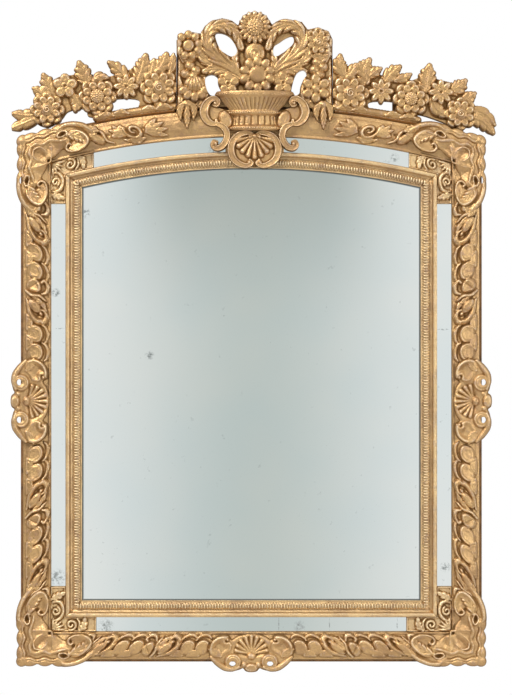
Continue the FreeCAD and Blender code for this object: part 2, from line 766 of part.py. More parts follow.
def crest_wing(side):
    front = crest_back + wing_thickness
    ends = sorted(wing_place(side, share, 0)[0] for share in (0, wing_foot_share))
    foot = arch_band(outer_radius, carcass_radius + wing_foot_height, ends[0], ends[1], crest_back, front)
    board = [foot]
    places = [wing_place(side, *shares[:2]) for shares in wing_flower_shares]
    landing = wing_place(side, wing_flower_shares[-1][0], 0)
    for a, b in zip(places, places[1:] + [landing]):
        board.append(bar(a, b, wing_height * wing_stem_share, crest_back, front))
    for place, (_, _, radius_share, petals) in zip(places, wing_flower_shares):
        board += flower(*place, wing_height * radius_share, petals, crest_back, front, flower_relief)
    leaf_width = wing_height * wing_leaf_width_share
    for flower_number, *tip_shares in wing_leaf_shares:
        base, tip = places[flower_number], wing_place(side, *tip_shares)
        board.append(leaf(base, tip, leaf_width, crest_back, front))
    seam = crest_half_width + crest_joint
    centre = block(crest_shift - seam, crest_shift + seam, 0, frame_crown + crest_height + cut_overrun,
                   -cut_overrun, cut_overrun)
    return above_frame(joined(board)).cut(centre)


crest_centre()
add("crest_left_wing", crest_wing(-1))
add("crest_right_wing", crest_wing(1))


# Battens: straight laths let into the back of the top rail, which carry the cresting

batten_width = 30.0
batten_rise = 70.0
batten_drop = 60.0
batten_clearance = 0.3
centre_batten_share = 0.8     # of the crest's half width
wing_batten_share = 0.9       # of the carcass opening's half width
batten_screw_shares = (-0.75, -0.33, 0.35, 0.8)     # below and above the arch, of the drop and the rise
batten_screw_length = 22.0


def wood_screw(x, z, back, length):
    """A countersunk screw driven forward from a back face."""
    head = screw_head_radius - screw_radius
    return joined([disc(x, z, screw_radius, back, back + length),
                   Part.makeCone(screw_head_radius, screw_radius, head, point(x, z, back), forward)])


def battens():
    places = {"centre_left": crest_place(-centre_batten_share, 0)[0],
              "centre_right": crest_place(centre_batten_share, 0)[0],
              "left": -carcass_inner * wing_batten_share, "right": carcass_inner * wing_batten_share}
    screws, notches, half = [], [], batten_width / 2
    made = {}
    for name, x in places.items():
        arch = arch_z(carcass_radius, x)
        made[name] = block(x - half, x + half, arch - batten_drop, arch + batten_rise, 0.0, crest_back)
        room = half + batten_clearance
        notches.append(block(x - room, x + room, arch - batten_drop - batten_clearance, arch + cut_overrun,
                             0.0, crest_back))
        for share in batten_screw_shares:
            z = arch + share * (batten_rise if share > 0 else batten_drop)
            screws.append(wood_screw(x, z, 0.0, batten_screw_length))
    for name, shape in made.items():
        add("crest_batten_" + name, shape.cut(screws))
    nodes["carcass_top_rail"] = nodes["carcass_top_rail"].cut(notches)
    for name in ("carcass_top_rail", "crest_centre", "crest_left_wing", "crest_right_wing"):
        add(name, nodes[name].cut(screws))
    add("batten_screws", Part.makeCompound(screws))


battens()


# Outer moulding: planed flat under the applied ornaments

def seats():
    low, high = outer_bottom, arch_z(outer_radius, outer_edge)
    room = arm_length + fit_clearance
    side = cartouche_half_length + fit_clearance
    front = seat_depth + cut_overrun
    far = carcass_half + cut_overrun
    ends = [block(-far, far, low - cut_overrun, low + room, seat_depth, front),
            block(-far, far, high - room, high + cut_overrun, seat_depth, front),
            block(-far, far, -side, side, seat_depth, front)]
    corner = outer_edge - room
    lengths = [block(corner, far, low - cut_overrun, frame_crown, seat_depth, front),
               block(-far, -corner, low - cut_overrun, frame_crown, seat_depth, front)]
    bottom = block(-side, side, low - cut_overrun, 0, seat_depth, front)
    field = block(crest_shift - crest_half_width, crest_shift + crest_half_width, 0, frame_crown,
                  seat_depth, front)
    cuts = {"right": ends, "left": ends, "bottom": lengths + [bottom], "top": lengths + [field]}
    for name, seat in cuts.items():
        mouldings["outer_moulding_" + name] = mouldings["outer_moulding_" + name].cut(seat)


seats()


# Pins driven through the carcass from behind, into the outer moulding

pin_radius = 1.5
pin_length = 36.0
stile_pin_shares = (-0.75, -0.3, 0.3, 0.75)     # up and down the stiles, of the sight rise and drop
rail_pin_shares = (-0.5, -0.2, 0.2, 0.5)        # along the rails, of the carcass opening's half width


def moulding_pins():
    middle = outer_moulding_width / 2
    low = outer_bottom + middle
    pins = []
    for share in stile_pin_shares:
        z = share * (sight_rise if share > 0 else sight_drop)
        pins += [disc(side * (border_edge + middle), z, pin_radius, 0.0, pin_length) for side in (-1, 1)]
    for share in rail_pin_shares:
        x = share * carcass_inner
        pins.append(disc(x, low, pin_radius, 0.0, pin_length))
        pins.append(disc(x, arch_z(border_radius + middle, x), pin_radius, 0.0, pin_length))
    for name in ("right_stile", "left_stile", "bottom_rail", "top_rail"):
        add("carcass_" + name, nodes["carcass_" + name].cut(pins))
    for name, shape in mouldings.items():
        add(name, shape.cut(pins) if name.startswith("outer") else shape)
    add("moulding_pins", Part.makeCompound(pins))


moulding_pins()


# Hangers: iron straps screwed to the recessed hanging rail, each with a D-shaped ring that swings in its eye

strap_clearance = 0.2         # rolled eye to the rail behind it
ring_gap = 0.3                # ring, swung up, to the face of the strap
strap_screw_shares = (0.3, 0.86)     # of the strap's height above the hinge
eye_bore = ring_wire_radius + hinge_clearance
eye_radius = eye_bore + strap_thickness
strap_back = hanging_recess - strap_thickness
hinge_depth = strap_back - ring_gap - ring_wire_radius
hinge_height = hanging_rail_height - hanging_rail_width * hanger_lift_share


def rod(start, end, radius):
    return Part.makeCylinder(radius, (end - start).Length, start, end - start)


def bend(centre, radius, start, sweep):
    """A curved stretch of the ring's wire, about a centre, from an angle in degrees from +X."""
    turn = math.radians(start)
    middle = centre + Vector(math.cos(turn), 0, math.sin(turn)) * radius
    section = Part.Face(Part.Wire(Part.makeCircle(ring_wire_radius, middle,
                                                  Vector(-math.sin(turn), 0, math.cos(turn)))))
    return section.revolve(centre, forward, sweep)


def hanger_ring():
    """Drawn about the hinge line, hanging down."""
    straight = ring_half_width - ring_corner_radius
    drop = ring_corner_radius + ring_side
    wire = [rod(point(-straight, 0), point(straight, 0), ring_wire_radius),
            bend(point(0, -drop), ring_half_width, 180, 180)]
    for side, start in ((1, 0), (-1, 90)):
        corner = point(side * straight, -ring_corner_radius)
        wire.append(bend(corner, ring_corner_radius, start, 90))
        top, foot = (point(side * ring_half_width, -z) for z in (ring_corner_radius, drop))
        wire.append(rod(top, foot, ring_wire_radius))
    return joined(wire)


def hangers():
    ring = hanger_ring()
    screws = []
    for name, side in (("left", -1), ("right", 1)):
        x = side * hanger_spread
        axis = [point(x + end * eye_half_length, hinge_height, hinge_depth) for end in (-1, 1)]
        plate = block(x - strap_width / 2, x + strap_width / 2, hinge_height, hinge_height + strap_height,
                      strap_back, hanging_recess)
        own = [wood_screw(x, hinge_height + strap_height * share, strap_back, screw_length)
               for share in strap_screw_shares]
        strap = joined([plate, rod(axis[0], axis[1], eye_radius)])
        tail = block(x - strap_width, x + strap_width, hinge_height - eye_radius, hinge_height + eye_radius,
                     hanging_recess - strap_clearance, hanging_recess + cut_overrun)
        add("hanger_strap_" + name, strap.cut([rod(axis[0], axis[1], eye_bore), tail] + own))
        moved = ring.copy()
        moved.translate(point(x, hinge_height, hinge_depth))
        add("hanger_ring_" + name, moved)
        screws += own
    add("carcass_hanging_rail", nodes["carcass_hanging_rail"].cut(screws))
    add("hanger_screws", Part.makeCompound(screws))


hangers()

for name, shape in nodes.items():
    shape.exportStep("parts/" + name + ".step")
    box = shape.BoundBox
    print(name, len(shape.Solids), "valid" if shape.isValid() else "BAD", round(shape.Volume),
          [round(v, 1) for v in (box.XMin, box.XMax, box.YMin, box.YMax, box.ZMin, box.ZMax)])
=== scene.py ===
"""The looks of a carved giltwood wall mirror, in metres: Z is up, the glass faces -Y and the wall is Y = 0.

Carved pieces are drawn in millimetres on the plane of the wall and cut as heights on a fine grid.
"""

import math

import bpy
import numpy as np
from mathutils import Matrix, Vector


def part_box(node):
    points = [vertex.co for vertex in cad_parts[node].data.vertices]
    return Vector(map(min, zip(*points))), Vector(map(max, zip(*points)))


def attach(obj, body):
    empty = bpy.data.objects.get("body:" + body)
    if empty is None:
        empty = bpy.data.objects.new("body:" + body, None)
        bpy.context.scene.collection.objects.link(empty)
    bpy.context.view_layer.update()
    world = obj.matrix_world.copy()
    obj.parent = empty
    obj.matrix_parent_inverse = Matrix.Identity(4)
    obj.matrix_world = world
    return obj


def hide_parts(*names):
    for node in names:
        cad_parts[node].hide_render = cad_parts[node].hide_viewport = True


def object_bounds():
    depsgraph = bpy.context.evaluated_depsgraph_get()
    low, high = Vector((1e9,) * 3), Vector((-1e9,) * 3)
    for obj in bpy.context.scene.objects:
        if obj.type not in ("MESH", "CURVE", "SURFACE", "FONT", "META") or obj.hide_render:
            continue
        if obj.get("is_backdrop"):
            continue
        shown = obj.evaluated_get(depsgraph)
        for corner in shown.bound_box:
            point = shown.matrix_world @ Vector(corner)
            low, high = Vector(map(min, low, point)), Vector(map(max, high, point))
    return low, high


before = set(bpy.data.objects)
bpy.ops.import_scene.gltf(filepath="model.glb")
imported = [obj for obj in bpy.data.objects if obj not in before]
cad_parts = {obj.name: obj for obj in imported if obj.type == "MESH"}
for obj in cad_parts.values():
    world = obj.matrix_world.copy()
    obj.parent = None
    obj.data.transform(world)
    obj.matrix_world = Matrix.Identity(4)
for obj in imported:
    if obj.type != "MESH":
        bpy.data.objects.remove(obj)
cad_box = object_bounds()


# Carcass and back boards.
# Sawn pine stiles and rails, tenoned and pegged, with three thin boards floating in grooves behind the glass.
# The wood is bare and browned at the back, and washed with ochre on the edges that show round the gilding.

def node(tree, kind, inputs=(), **settings):
    """Adds a node; inputs maps a socket's name or number to a value or to another node's output."""
    made = tree.nodes.new(kind)
    for key, value in settings.items():
        setattr(made, key, value)
    for key, value in dict(inputs).items():
        if isinstance(value, bpy.types.NodeSocket):
            tree.links.new(value, made.inputs[key])
        else:
            made.inputs[key].default_value = value
    return made


def maths(tree, operation, first, second=0.0, clamp=False):
    made = node(tree, "ShaderNodeMath", {0: first, 1: second}, operation=operation, use_clamp=clamp)
    return made.outputs[0]


def eased(tree, value, low, high, start=0.0, end=1.0):
    """A smooth step of a value between low and high."""
    feeds = {0: value, 1: low, 2: high, 3: start, 4: end}
    return node(tree, "ShaderNodeMapRange", feeds, interpolation_type="SMOOTHSTEP").outputs[0]


def tinted(tree, share, first, second):
    """A colour that runs from first to second."""
    return node(tree, "ShaderNodeMix", {0: share, 6: first, 7: second}, data_type="RGBA").outputs[2]


def cloud(tree, place, scale, detail=4.0, roughness=0.6):
    """Soft noise over a surface, 0 to 1."""
    feeds = {"Vector": place, "Scale": scale, "Detail": detail, "Roughness": roughness}
    return node(tree, "ShaderNodeTexNoise", feeds).outputs["Fac"]


def effect(name, inputs, outputs):
    """A shader group with named sockets: its tree, what comes in and where its results go."""
    tree = bpy.data.node_groups.new(name, "ShaderNodeTree")
    for socket, kind, value in inputs:
        made = tree.interface.new_socket(socket, in_out="INPUT", socket_type="NodeSocket" + kind)
        if value is not None:
            made.default_value = value
    for socket, kind in outputs:
        tree.interface.new_socket(socket, in_out="OUTPUT", socket_type="NodeSocket" + kind)
    return tree, tree.nodes.new("NodeGroupInput").outputs, tree.nodes.new("NodeGroupOutput").inputs


def finish(name, group, inputs, bump_height=0.0, **constants):
    """A material whose shader takes colour, roughness, metal and bump from an effect placed in it."""
    material = bpy.data.materials.new(name)
    material.use_nodes = True
    tree = material.node_tree
    shader = tree.nodes["Principled BSDF"]
    place = node(tree, "ShaderNodeTexCoord").outputs["Object"]
    feeds = {key: value(tree, place) if callable(value) else value for key, value in inputs.items()}
    made = node(tree, "ShaderNodeGroup", {"Place": place, **feeds}, node_tree=group)
    for output, socket in (("Colour", "Base Color"), ("Roughness", "Roughness"), ("Metal", "Metallic"),
                           ("Normal", "Normal")):
        if output in made.outputs:
            tree.links.new(made.outputs[output], shader.inputs[socket])
    if bump_height:
        bump = node(tree, "ShaderNodeBump", {"Height": made.outputs["Height"], "Distance": bump_height})
        tree.links.new(bump.outputs["Normal"], shader.inputs["Normal"])
    for key, value in constants.items():
        shader.inputs[key.replace("_", " ")].default_value = value
    return material


def sawn_wood():
    """Growth rings drawn out along the grain, with dark late wood, saw marks and stains."""
    tree, given, result = effect(
        "sawn wood",
        [("Place", "Vector", None), ("Early", "Color", (0.42, 0.28, 0.15, 1)),
         ("Late", "Color", (0.2, 0.11, 0.05, 1)), ("Wash", "Color", (0.3, 0.15, 0.05, 1)),
         ("Washed", "Float", 0.0)],
        [("Colour", "Color"), ("Roughness", "Float"), ("Height", "Float")])
    along = node(tree, "ShaderNodeMapping", {"Vector": given["Place"], "Scale": (38.0, 38.0, 2.2)})
    rings = cloud(tree, along.outputs[0], 3.2, detail=3.0)
    lines = maths(tree, "FRACT", maths(tree, "MULTIPLY", rings, 9.0))
    late = eased(tree, lines, 0.45, 0.95)
    saw = node(tree, "ShaderNodeMapping", {"Vector": given["Place"], "Scale": (60.0, 60.0, 900.0)})
    marks = cloud(tree, saw.outputs[0], 1.0, detail=2.0)
    stain = cloud(tree, given["Place"], 6.0)
    timber = tinted(tree, maths(tree, "MULTIPLY", late, 0.7), given["Early"], given["Late"])
    timber = tinted(tree, eased(tree, stain, 0.5, 0.75, 0.0, 0.55), timber, given["Late"])
    wash = tinted(tree, eased(tree, cloud(tree, given["Place"], 45.0), 0.4, 0.75), given["Wash"],
                  (0.12, 0.06, 0.025, 1))
    tree.links.new(tinted(tree, given["Washed"], timber, wash), result["Colour"])
    tree.links.new(eased(tree, marks, 0.3, 0.8, 0.6, 0.85), result["Roughness"])
    tree.links.new(maths(tree, "ADD", maths(tree, "MULTIPLY", marks, 0.5), late), result["Height"])
    return tree


def along_x(tree, place):
    """Turns the place so that the grain, drawn along Z, runs along X."""
    return node(tree, "ShaderNodeMapping", {"Vector": place, "Rotation": (0.0, math.pi / 2, 0.0)}).outputs[0]


carcass_arch = 1.972
arch_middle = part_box("carcass_top_rail")[1].z - carcass_arch


def from_arch_middle(tree, place):
    """Distance, over the plane of the wall, from the middle that all arches of the frame share."""
    on_wall, middle = (1.0, 0.0, 1.0), (0.0, 0.0, arch_middle)
    flat = node(tree, "ShaderNodeVectorMath", {0: place, 1: on_wall}, operation="MULTIPLY").outputs[0]
    return node(tree, "ShaderNodeVectorMath", {0: flat, 1: middle}, operation="DISTANCE").outputs["Value"]


def shown_edges(tree, place):
    """1 on the front and the outer edges of the carcass, which were washed with ochre."""
    lo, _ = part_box("carcass_left_stile")
    skin = 0.001
    axes = node(tree, "ShaderNodeSeparateXYZ", {0: place}).outputs
    side = maths(tree, "GREATER_THAN", maths(tree, "ABSOLUTE", axes["X"]), -lo.x - skin)
    foot = maths(tree, "LESS_THAN", axes["Z"], lo.z + skin)
    front = maths(tree, "LESS_THAN", axes["Y"], lo.y + skin)
    top = maths(tree, "GREATER_THAN", from_arch_middle(tree, place), carcass_arch - skin)
    return maths(tree, "MAXIMUM", maths(tree, "MAXIMUM", side, foot), maths(tree, "MAXIMUM", front, top))


wood = sawn_wood()
stile_pine = finish("stile pine", wood, {"Washed": shown_edges}, bump_height=0.0006)
rail_pine = finish("rail pine", wood, {"Place": along_x, "Washed": shown_edges}, bump_height=0.0006)
board_browns = {"Early": (0.33, 0.21, 0.11, 1), "Late": (0.13, 0.075, 0.035, 1)}
board_pine = finish("back board pine", wood, {"Place": along_x, **board_browns}, bump_height=0.0008)
peg_pine = finish("peg pine", wood, {"Early": (0.28, 0.17, 0.09, 1)}, bump_height=0.0003)


def dress(material, *names):
    """Gives CAD pieces that stay as they are their finish."""
    for name in names:
        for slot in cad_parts[name].material_slots:
            slot.material = material


dress(stile_pine, "carcass_left_stile", "carcass_right_stile")
dress(rail_pine, "carcass_bottom_rail", "carcass_mid_rail", "carcass_hanging_rail", "carcass_top_rail")
dress(board_pine, "back_panel_lower", "back_panel_middle", "back_panel_upper")
dress(peg_pine, "tenon_pegs")


# Plates.
# Six plates of old blown glass, silvered at the back: a large arched one and five narrow border strips.
# They lie in rebates of the mouldings. Damp has left grey blooms, pinholes and seams in the silvering.

def silvering():
    """A cool, faintly uneven silver with cloudy foxing and pinholes, and a painted shade line where one is
    given.
    """
    tree, given, result = effect(
        "old silvering",
        [("Place", "Vector", None), ("Silver", "Color", (0.925, 0.93, 0.908, 1)),
         ("Foxing and shade", "Color", (0.2, 0.22, 0.22, 1)), ("Damp", "Float", 0.0), ("Rebate shade", "Float", 0.0),
         ("Lean", "Vector", (0.0, 0.0, 0.0))],
        [("Colour", "Color"), ("Roughness", "Float"), ("Normal", "Vector")])
    veil = cloud(tree, given["Place"], 3.0, detail=2.0)
    grain = cloud(tree, given["Place"], 130.0, detail=6.0, roughness=0.75)
    spots = eased(tree, cloud(tree, given["Place"], 55.0, detail=5.0), 0.66, 0.74)
    bloom = maths(tree, "MULTIPLY", given["Damp"], eased(tree, grain, 0.42, 0.62))
    spoilt_and_rebate_shade = maths(tree, "MAXIMUM", maths(tree, "MULTIPLY", spots, 0.17), bloom)
    # Painted shade: the rebate line is added to the damp marks and takes the foxing colour.
    spoilt_and_rebate_shade = maths(tree, "MAXIMUM", spoilt_and_rebate_shade, given["Rebate shade"])
    cool = tinted(tree, eased(tree, veil, 0.3, 0.7), given["Silver"], (0.86, 0.9, 0.9, 1))
    tree.links.new(tinted(tree, spoilt_and_rebate_shade, cool, given["Foxing and shade"]), result["Colour"])
    tree.links.new(eased(tree, spoilt_and_rebate_shade, 0.0, 0.8, 0.03, 0.3), result["Roughness"])
    facing = node(tree, "ShaderNodeNewGeometry").outputs["Normal"]
    leaning = node(tree, "ShaderNodeVectorMath", {0: facing, 1: given["Lean"]}, operation="ADD").outputs[0]
    turned = node(tree, "ShaderNodeVectorMath", {0: leaning}, operation="NORMALIZE").outputs[0]
    tree.links.new(turned, result["Normal"])
    return tree


# Damp marks and seams of the silvering, as X, Z and reach along each: two on the main plate, the others on
# the border strips
damp_marks = ((-0.245, 0.110, 0.014, 0.014), (-0.400, 0.452, 0.016, 0.016), (-0.466, -0.425, 0.026, 0.026),
              (-0.350, -0.543, 0.024, 0.024), (0.116, -0.543, 0.018, 0.018), (-0.086, 0.606, 0.022, 0.022),
              (-0.470, 0.260, 0.014, 0.014), (0.345, 0.585, 0.014, 0.014), (0.467, -0.400, 0.016, 0.016),
              (-0.458, 0.174, 0.020, 0.0022), (0.462, 0.172, 0.018, 0.0026), (0.066, -0.537, 0.0024, 0.020),
              (0.188, -0.537, 0.0018, 0.020), (0.351, -0.537, 0.0024, 0.018))


def damp(tree, place):
    """Rises towards 1 at the damp marks."""
    total = None
    for x, z, across, up in damp_marks:
        reach, middle = (1 / across, 0.0, 1 / up), (x / across, 0.0, z / up)
        shares = node(tree, "ShaderNodeVectorMath", {0: place, 1: reach}, operation="MULTIPLY").outputs[0]
        away = node(tree, "ShaderNodeVectorMath", {0: shares, 1: middle}, operation="DISTANCE")
        mark = eased(tree, away.outputs["Value"], 0.15, 1.0, 0.9, 0.0)
        total = mark if total is None else maths(tree, "MAXIMUM", total, mark)
    return total


glass_lap = 0.007


def painted_rebate_shade(tree, place):
    """A painted dark line along the edge of the main plate: painted shade for the rebate that the plate
    mirrors.
    """
    line_width = 0.0046
    sight_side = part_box("inner_moulding_right")[0].x
    sight_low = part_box("inner_moulding_bottom")[1].z
    sight_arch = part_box("main_plate")[1].z - glass_lap - arch_middle
    axes = node(tree, "ShaderNodeSeparateXYZ", {0: place}).outputs
    side = maths(tree, "SUBTRACT", sight_side, maths(tree, "ABSOLUTE", axes["X"]))
    low = maths(tree, "SUBTRACT", axes["Z"], sight_low)
    high = maths(tree, "SUBTRACT", sight_arch, from_arch_middle(tree, place))
    inside = maths(tree, "MINIMUM", maths(tree, "MINIMUM", side, low), high)
    return eased(tree, inside, line_width, 0.5 * line_width)


silver = silvering()
plate_glass = finish("main plate glass", silver, {"Damp": damp, "Rebate shade": painted_rebate_shade}, Metallic=1.0)
dress(plate_glass, "main_plate")
mirror_glass = finish("old mirror glass", silver, {"Damp": damp}, Metallic=1.0)
dress(mirror_glass, "left_border_plate", "right_border_plate", "bottom_border_plate")
top_lean = (0.0, 0.0, -0.045)
leaning_glass = finish("leaning mirror glass", silver, {"Damp": damp, "Lean": top_lean}, Metallic=1.0)
dress(leaning_glass, "top_left_border_plate", "top_right_border_plate")


# Inner moulding.
# Four mitred lengths of pine round the main plate, gessoed and water gilt over bole, rubbed bare in places:
# a plain fillet, a half round carved across with close gadroons, a hollow and a burnished ledge.

def aged_gilding():
    """Leaf over bole, with dirt and painted shade in the hollows, painted highlights on the high places and
    bole where the leaf is rubbed.
    """
    tree, given, result = effect(
        "aged gilding",
        [("Place", "Vector", None), ("Relief", "Float", 0.5), ("Leaf", "Color", (0.61, 0.38, 0.165, 1)),
         ("Burnish", "Color", (0.9, 0.68, 0.43, 1)), ("Bole", "Color", (0.36, 0.205, 0.135, 1)),
         ("Dirt and shade", "Color", (0.2, 0.092, 0.013, 1)), ("Rubbed", "Float", 0.35)],
        [("Colour", "Color"), ("Roughness", "Float"), ("Metal", "Float"), ("Height", "Float")])
    broad = cloud(tree, given["Place"], 16.0, detail=4.0)
    fine = cloud(tree, given["Place"], 240.0, detail=5.0, roughness=0.7)
    patch = cloud(tree, given["Place"], 75.0, detail=5.0, roughness=0.65)
    speckle = maths(tree, "MULTIPLY", maths(tree, "SUBTRACT", fine, 0.5), 0.35)
    uneven = maths(tree, "ADD", given["Relief"], speckle)
    # Dirt and painted shade: the low places of the carving are darkened towards the dirt colour.
    dirt_and_shade = maths(tree, "MULTIPLY", eased(tree, uneven, 0.47, 0.16), 0.95)
    # Painted highlight: the high places are lightened towards the highlight colour.
    raised = maths(tree, "ADD", uneven, maths(tree, "MULTIPLY", patch, 0.7))
    painted_highlight = maths(tree, "MULTIPLY", eased(tree, raised, 0.95, 1.2), 0.95)
    bared = maths(tree, "MULTIPLY", eased(tree, uneven, 0.3, 0.55), given["Rubbed"])
    worn = maths(tree, "MULTIPLY", eased(tree, patch, 0.5, 0.68), bared)
    shaded = {0: given["Leaf"], 1: (0.77, 0.73, 0.76)}
    duller = node(tree, "ShaderNodeVectorMath", shaded, operation="MULTIPLY").outputs[0]
    mellow = tinted(tree, eased(tree, broad, 0.35, 0.68), given["Leaf"], duller)
    colour = tinted(tree, painted_highlight, mellow, given["Burnish"])
    colour = tinted(tree, worn, colour, given["Bole"])
    tree.links.new(tinted(tree, dirt_and_shade, colour, given["Dirt and shade"]), result["Colour"])
    dull = maths(tree, "MAXIMUM", dirt_and_shade, worn)
    rough = maths(tree, "ADD", eased(tree, dull, 0.0, 1.0, 0.33, 0.62), maths(tree, "MULTIPLY", fine, 0.12))
    tree.links.new(rough, result["Roughness"])
    tree.links.new(eased(tree, dull, 0.0, 1.0, 0.84, 0.15), result["Metal"])
    tree.links.new(maths(tree, "ADD", fine, maths(tree, "MULTIPLY", patch, 2.5)), result["Height"])
    return tree


def relief(tree, place):
    """The piece's own measure of high (1) and low (0) places of its carving, which the gilding darkens and
    lightens as painted shade and highlight.
    """
    return node(tree, "ShaderNodeAttribute", attribute_name="relief").outputs["Fac"]


gilding = aged_gilding()


def gilt(name, rubbed, bump_height, **colours):
    """A gilding for one kind of carving, with its own colours where they differ from the common ones."""
    return finish(name, gilding, {"Relief": relief, "Rubbed": rubbed, **colours}, bump_height=bump_height)


# Lighter copies of the gilding, as painted light: the inner moulding and the corner panels are lightened to
# offset the shade they sit in, and the gadroons for painted highlights.
lit_moulding_gold = gilt("lit moulding gilding", 0.5, 0.0008, Leaf=(0.85, 0.61, 0.32, 1),
                     Burnish=(0.98, 0.8, 0.52, 1))
lit_gadroon_gold = gilt("lit gadroon gilding", 0.8, 0.0004, Leaf=(0.74, 0.5, 0.26, 1),
                    Burnish=(0.98, 0.79, 0.5, 1))

mm = 0.001


def span(name):
    """A CAD piece's X, Z and depth ranges, in millimetres."""
    lo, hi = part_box(name)
    return (lo.x / mm, hi.x / mm), (lo.z / mm, hi.z / mm), (-hi.y / mm, -lo.y / mm)


def gilt_piece(name, parts, material, replaced=()):
    """One object of the frame's body from closed shells, each given as points, faces and relief."""
    points, quads, heights, count = [], [], [], 0
    for shell_points, shell_quads, shell_relief in parts:
        points.append(shell_points)
        quads.append(shell_quads + count)
        heights.append(shell_relief)
        count += len(shell_points)
    points, quads, heights = np.concatenate(points), np.concatenate(quads), np.concatenate(heights)
    mesh = bpy.data.meshes.new(name)
    mesh.vertices.add(len(points))
    mesh.vertices.foreach_set("co", points.astype(np.float32).ravel())
    mesh.loops.add(quads.size)
    mesh.loops.foreach_set("vertex_index", quads.astype(np.int32).ravel())
    mesh.polygons.add(len(quads))
    mesh.polygons.foreach_set("loop_start", np.arange(0, quads.size, 4, dtype=np.int32))
    mesh.polygons.foreach_set("use_smooth", np.ones(len(quads), bool))
    mesh.update(calc_edges=True)
    mesh.attributes.new("relief", "FLOAT", "POINT").data.foreach_set("value", heights.astype(np.float32))
    mesh.materials.append(material)
    piece = bpy.data.objects.new(name, mesh)
    bpy.context.scene.collection.objects.link(piece)
    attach(piece, "frame")
    if replaced:
        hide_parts(*replaced)
    return piece


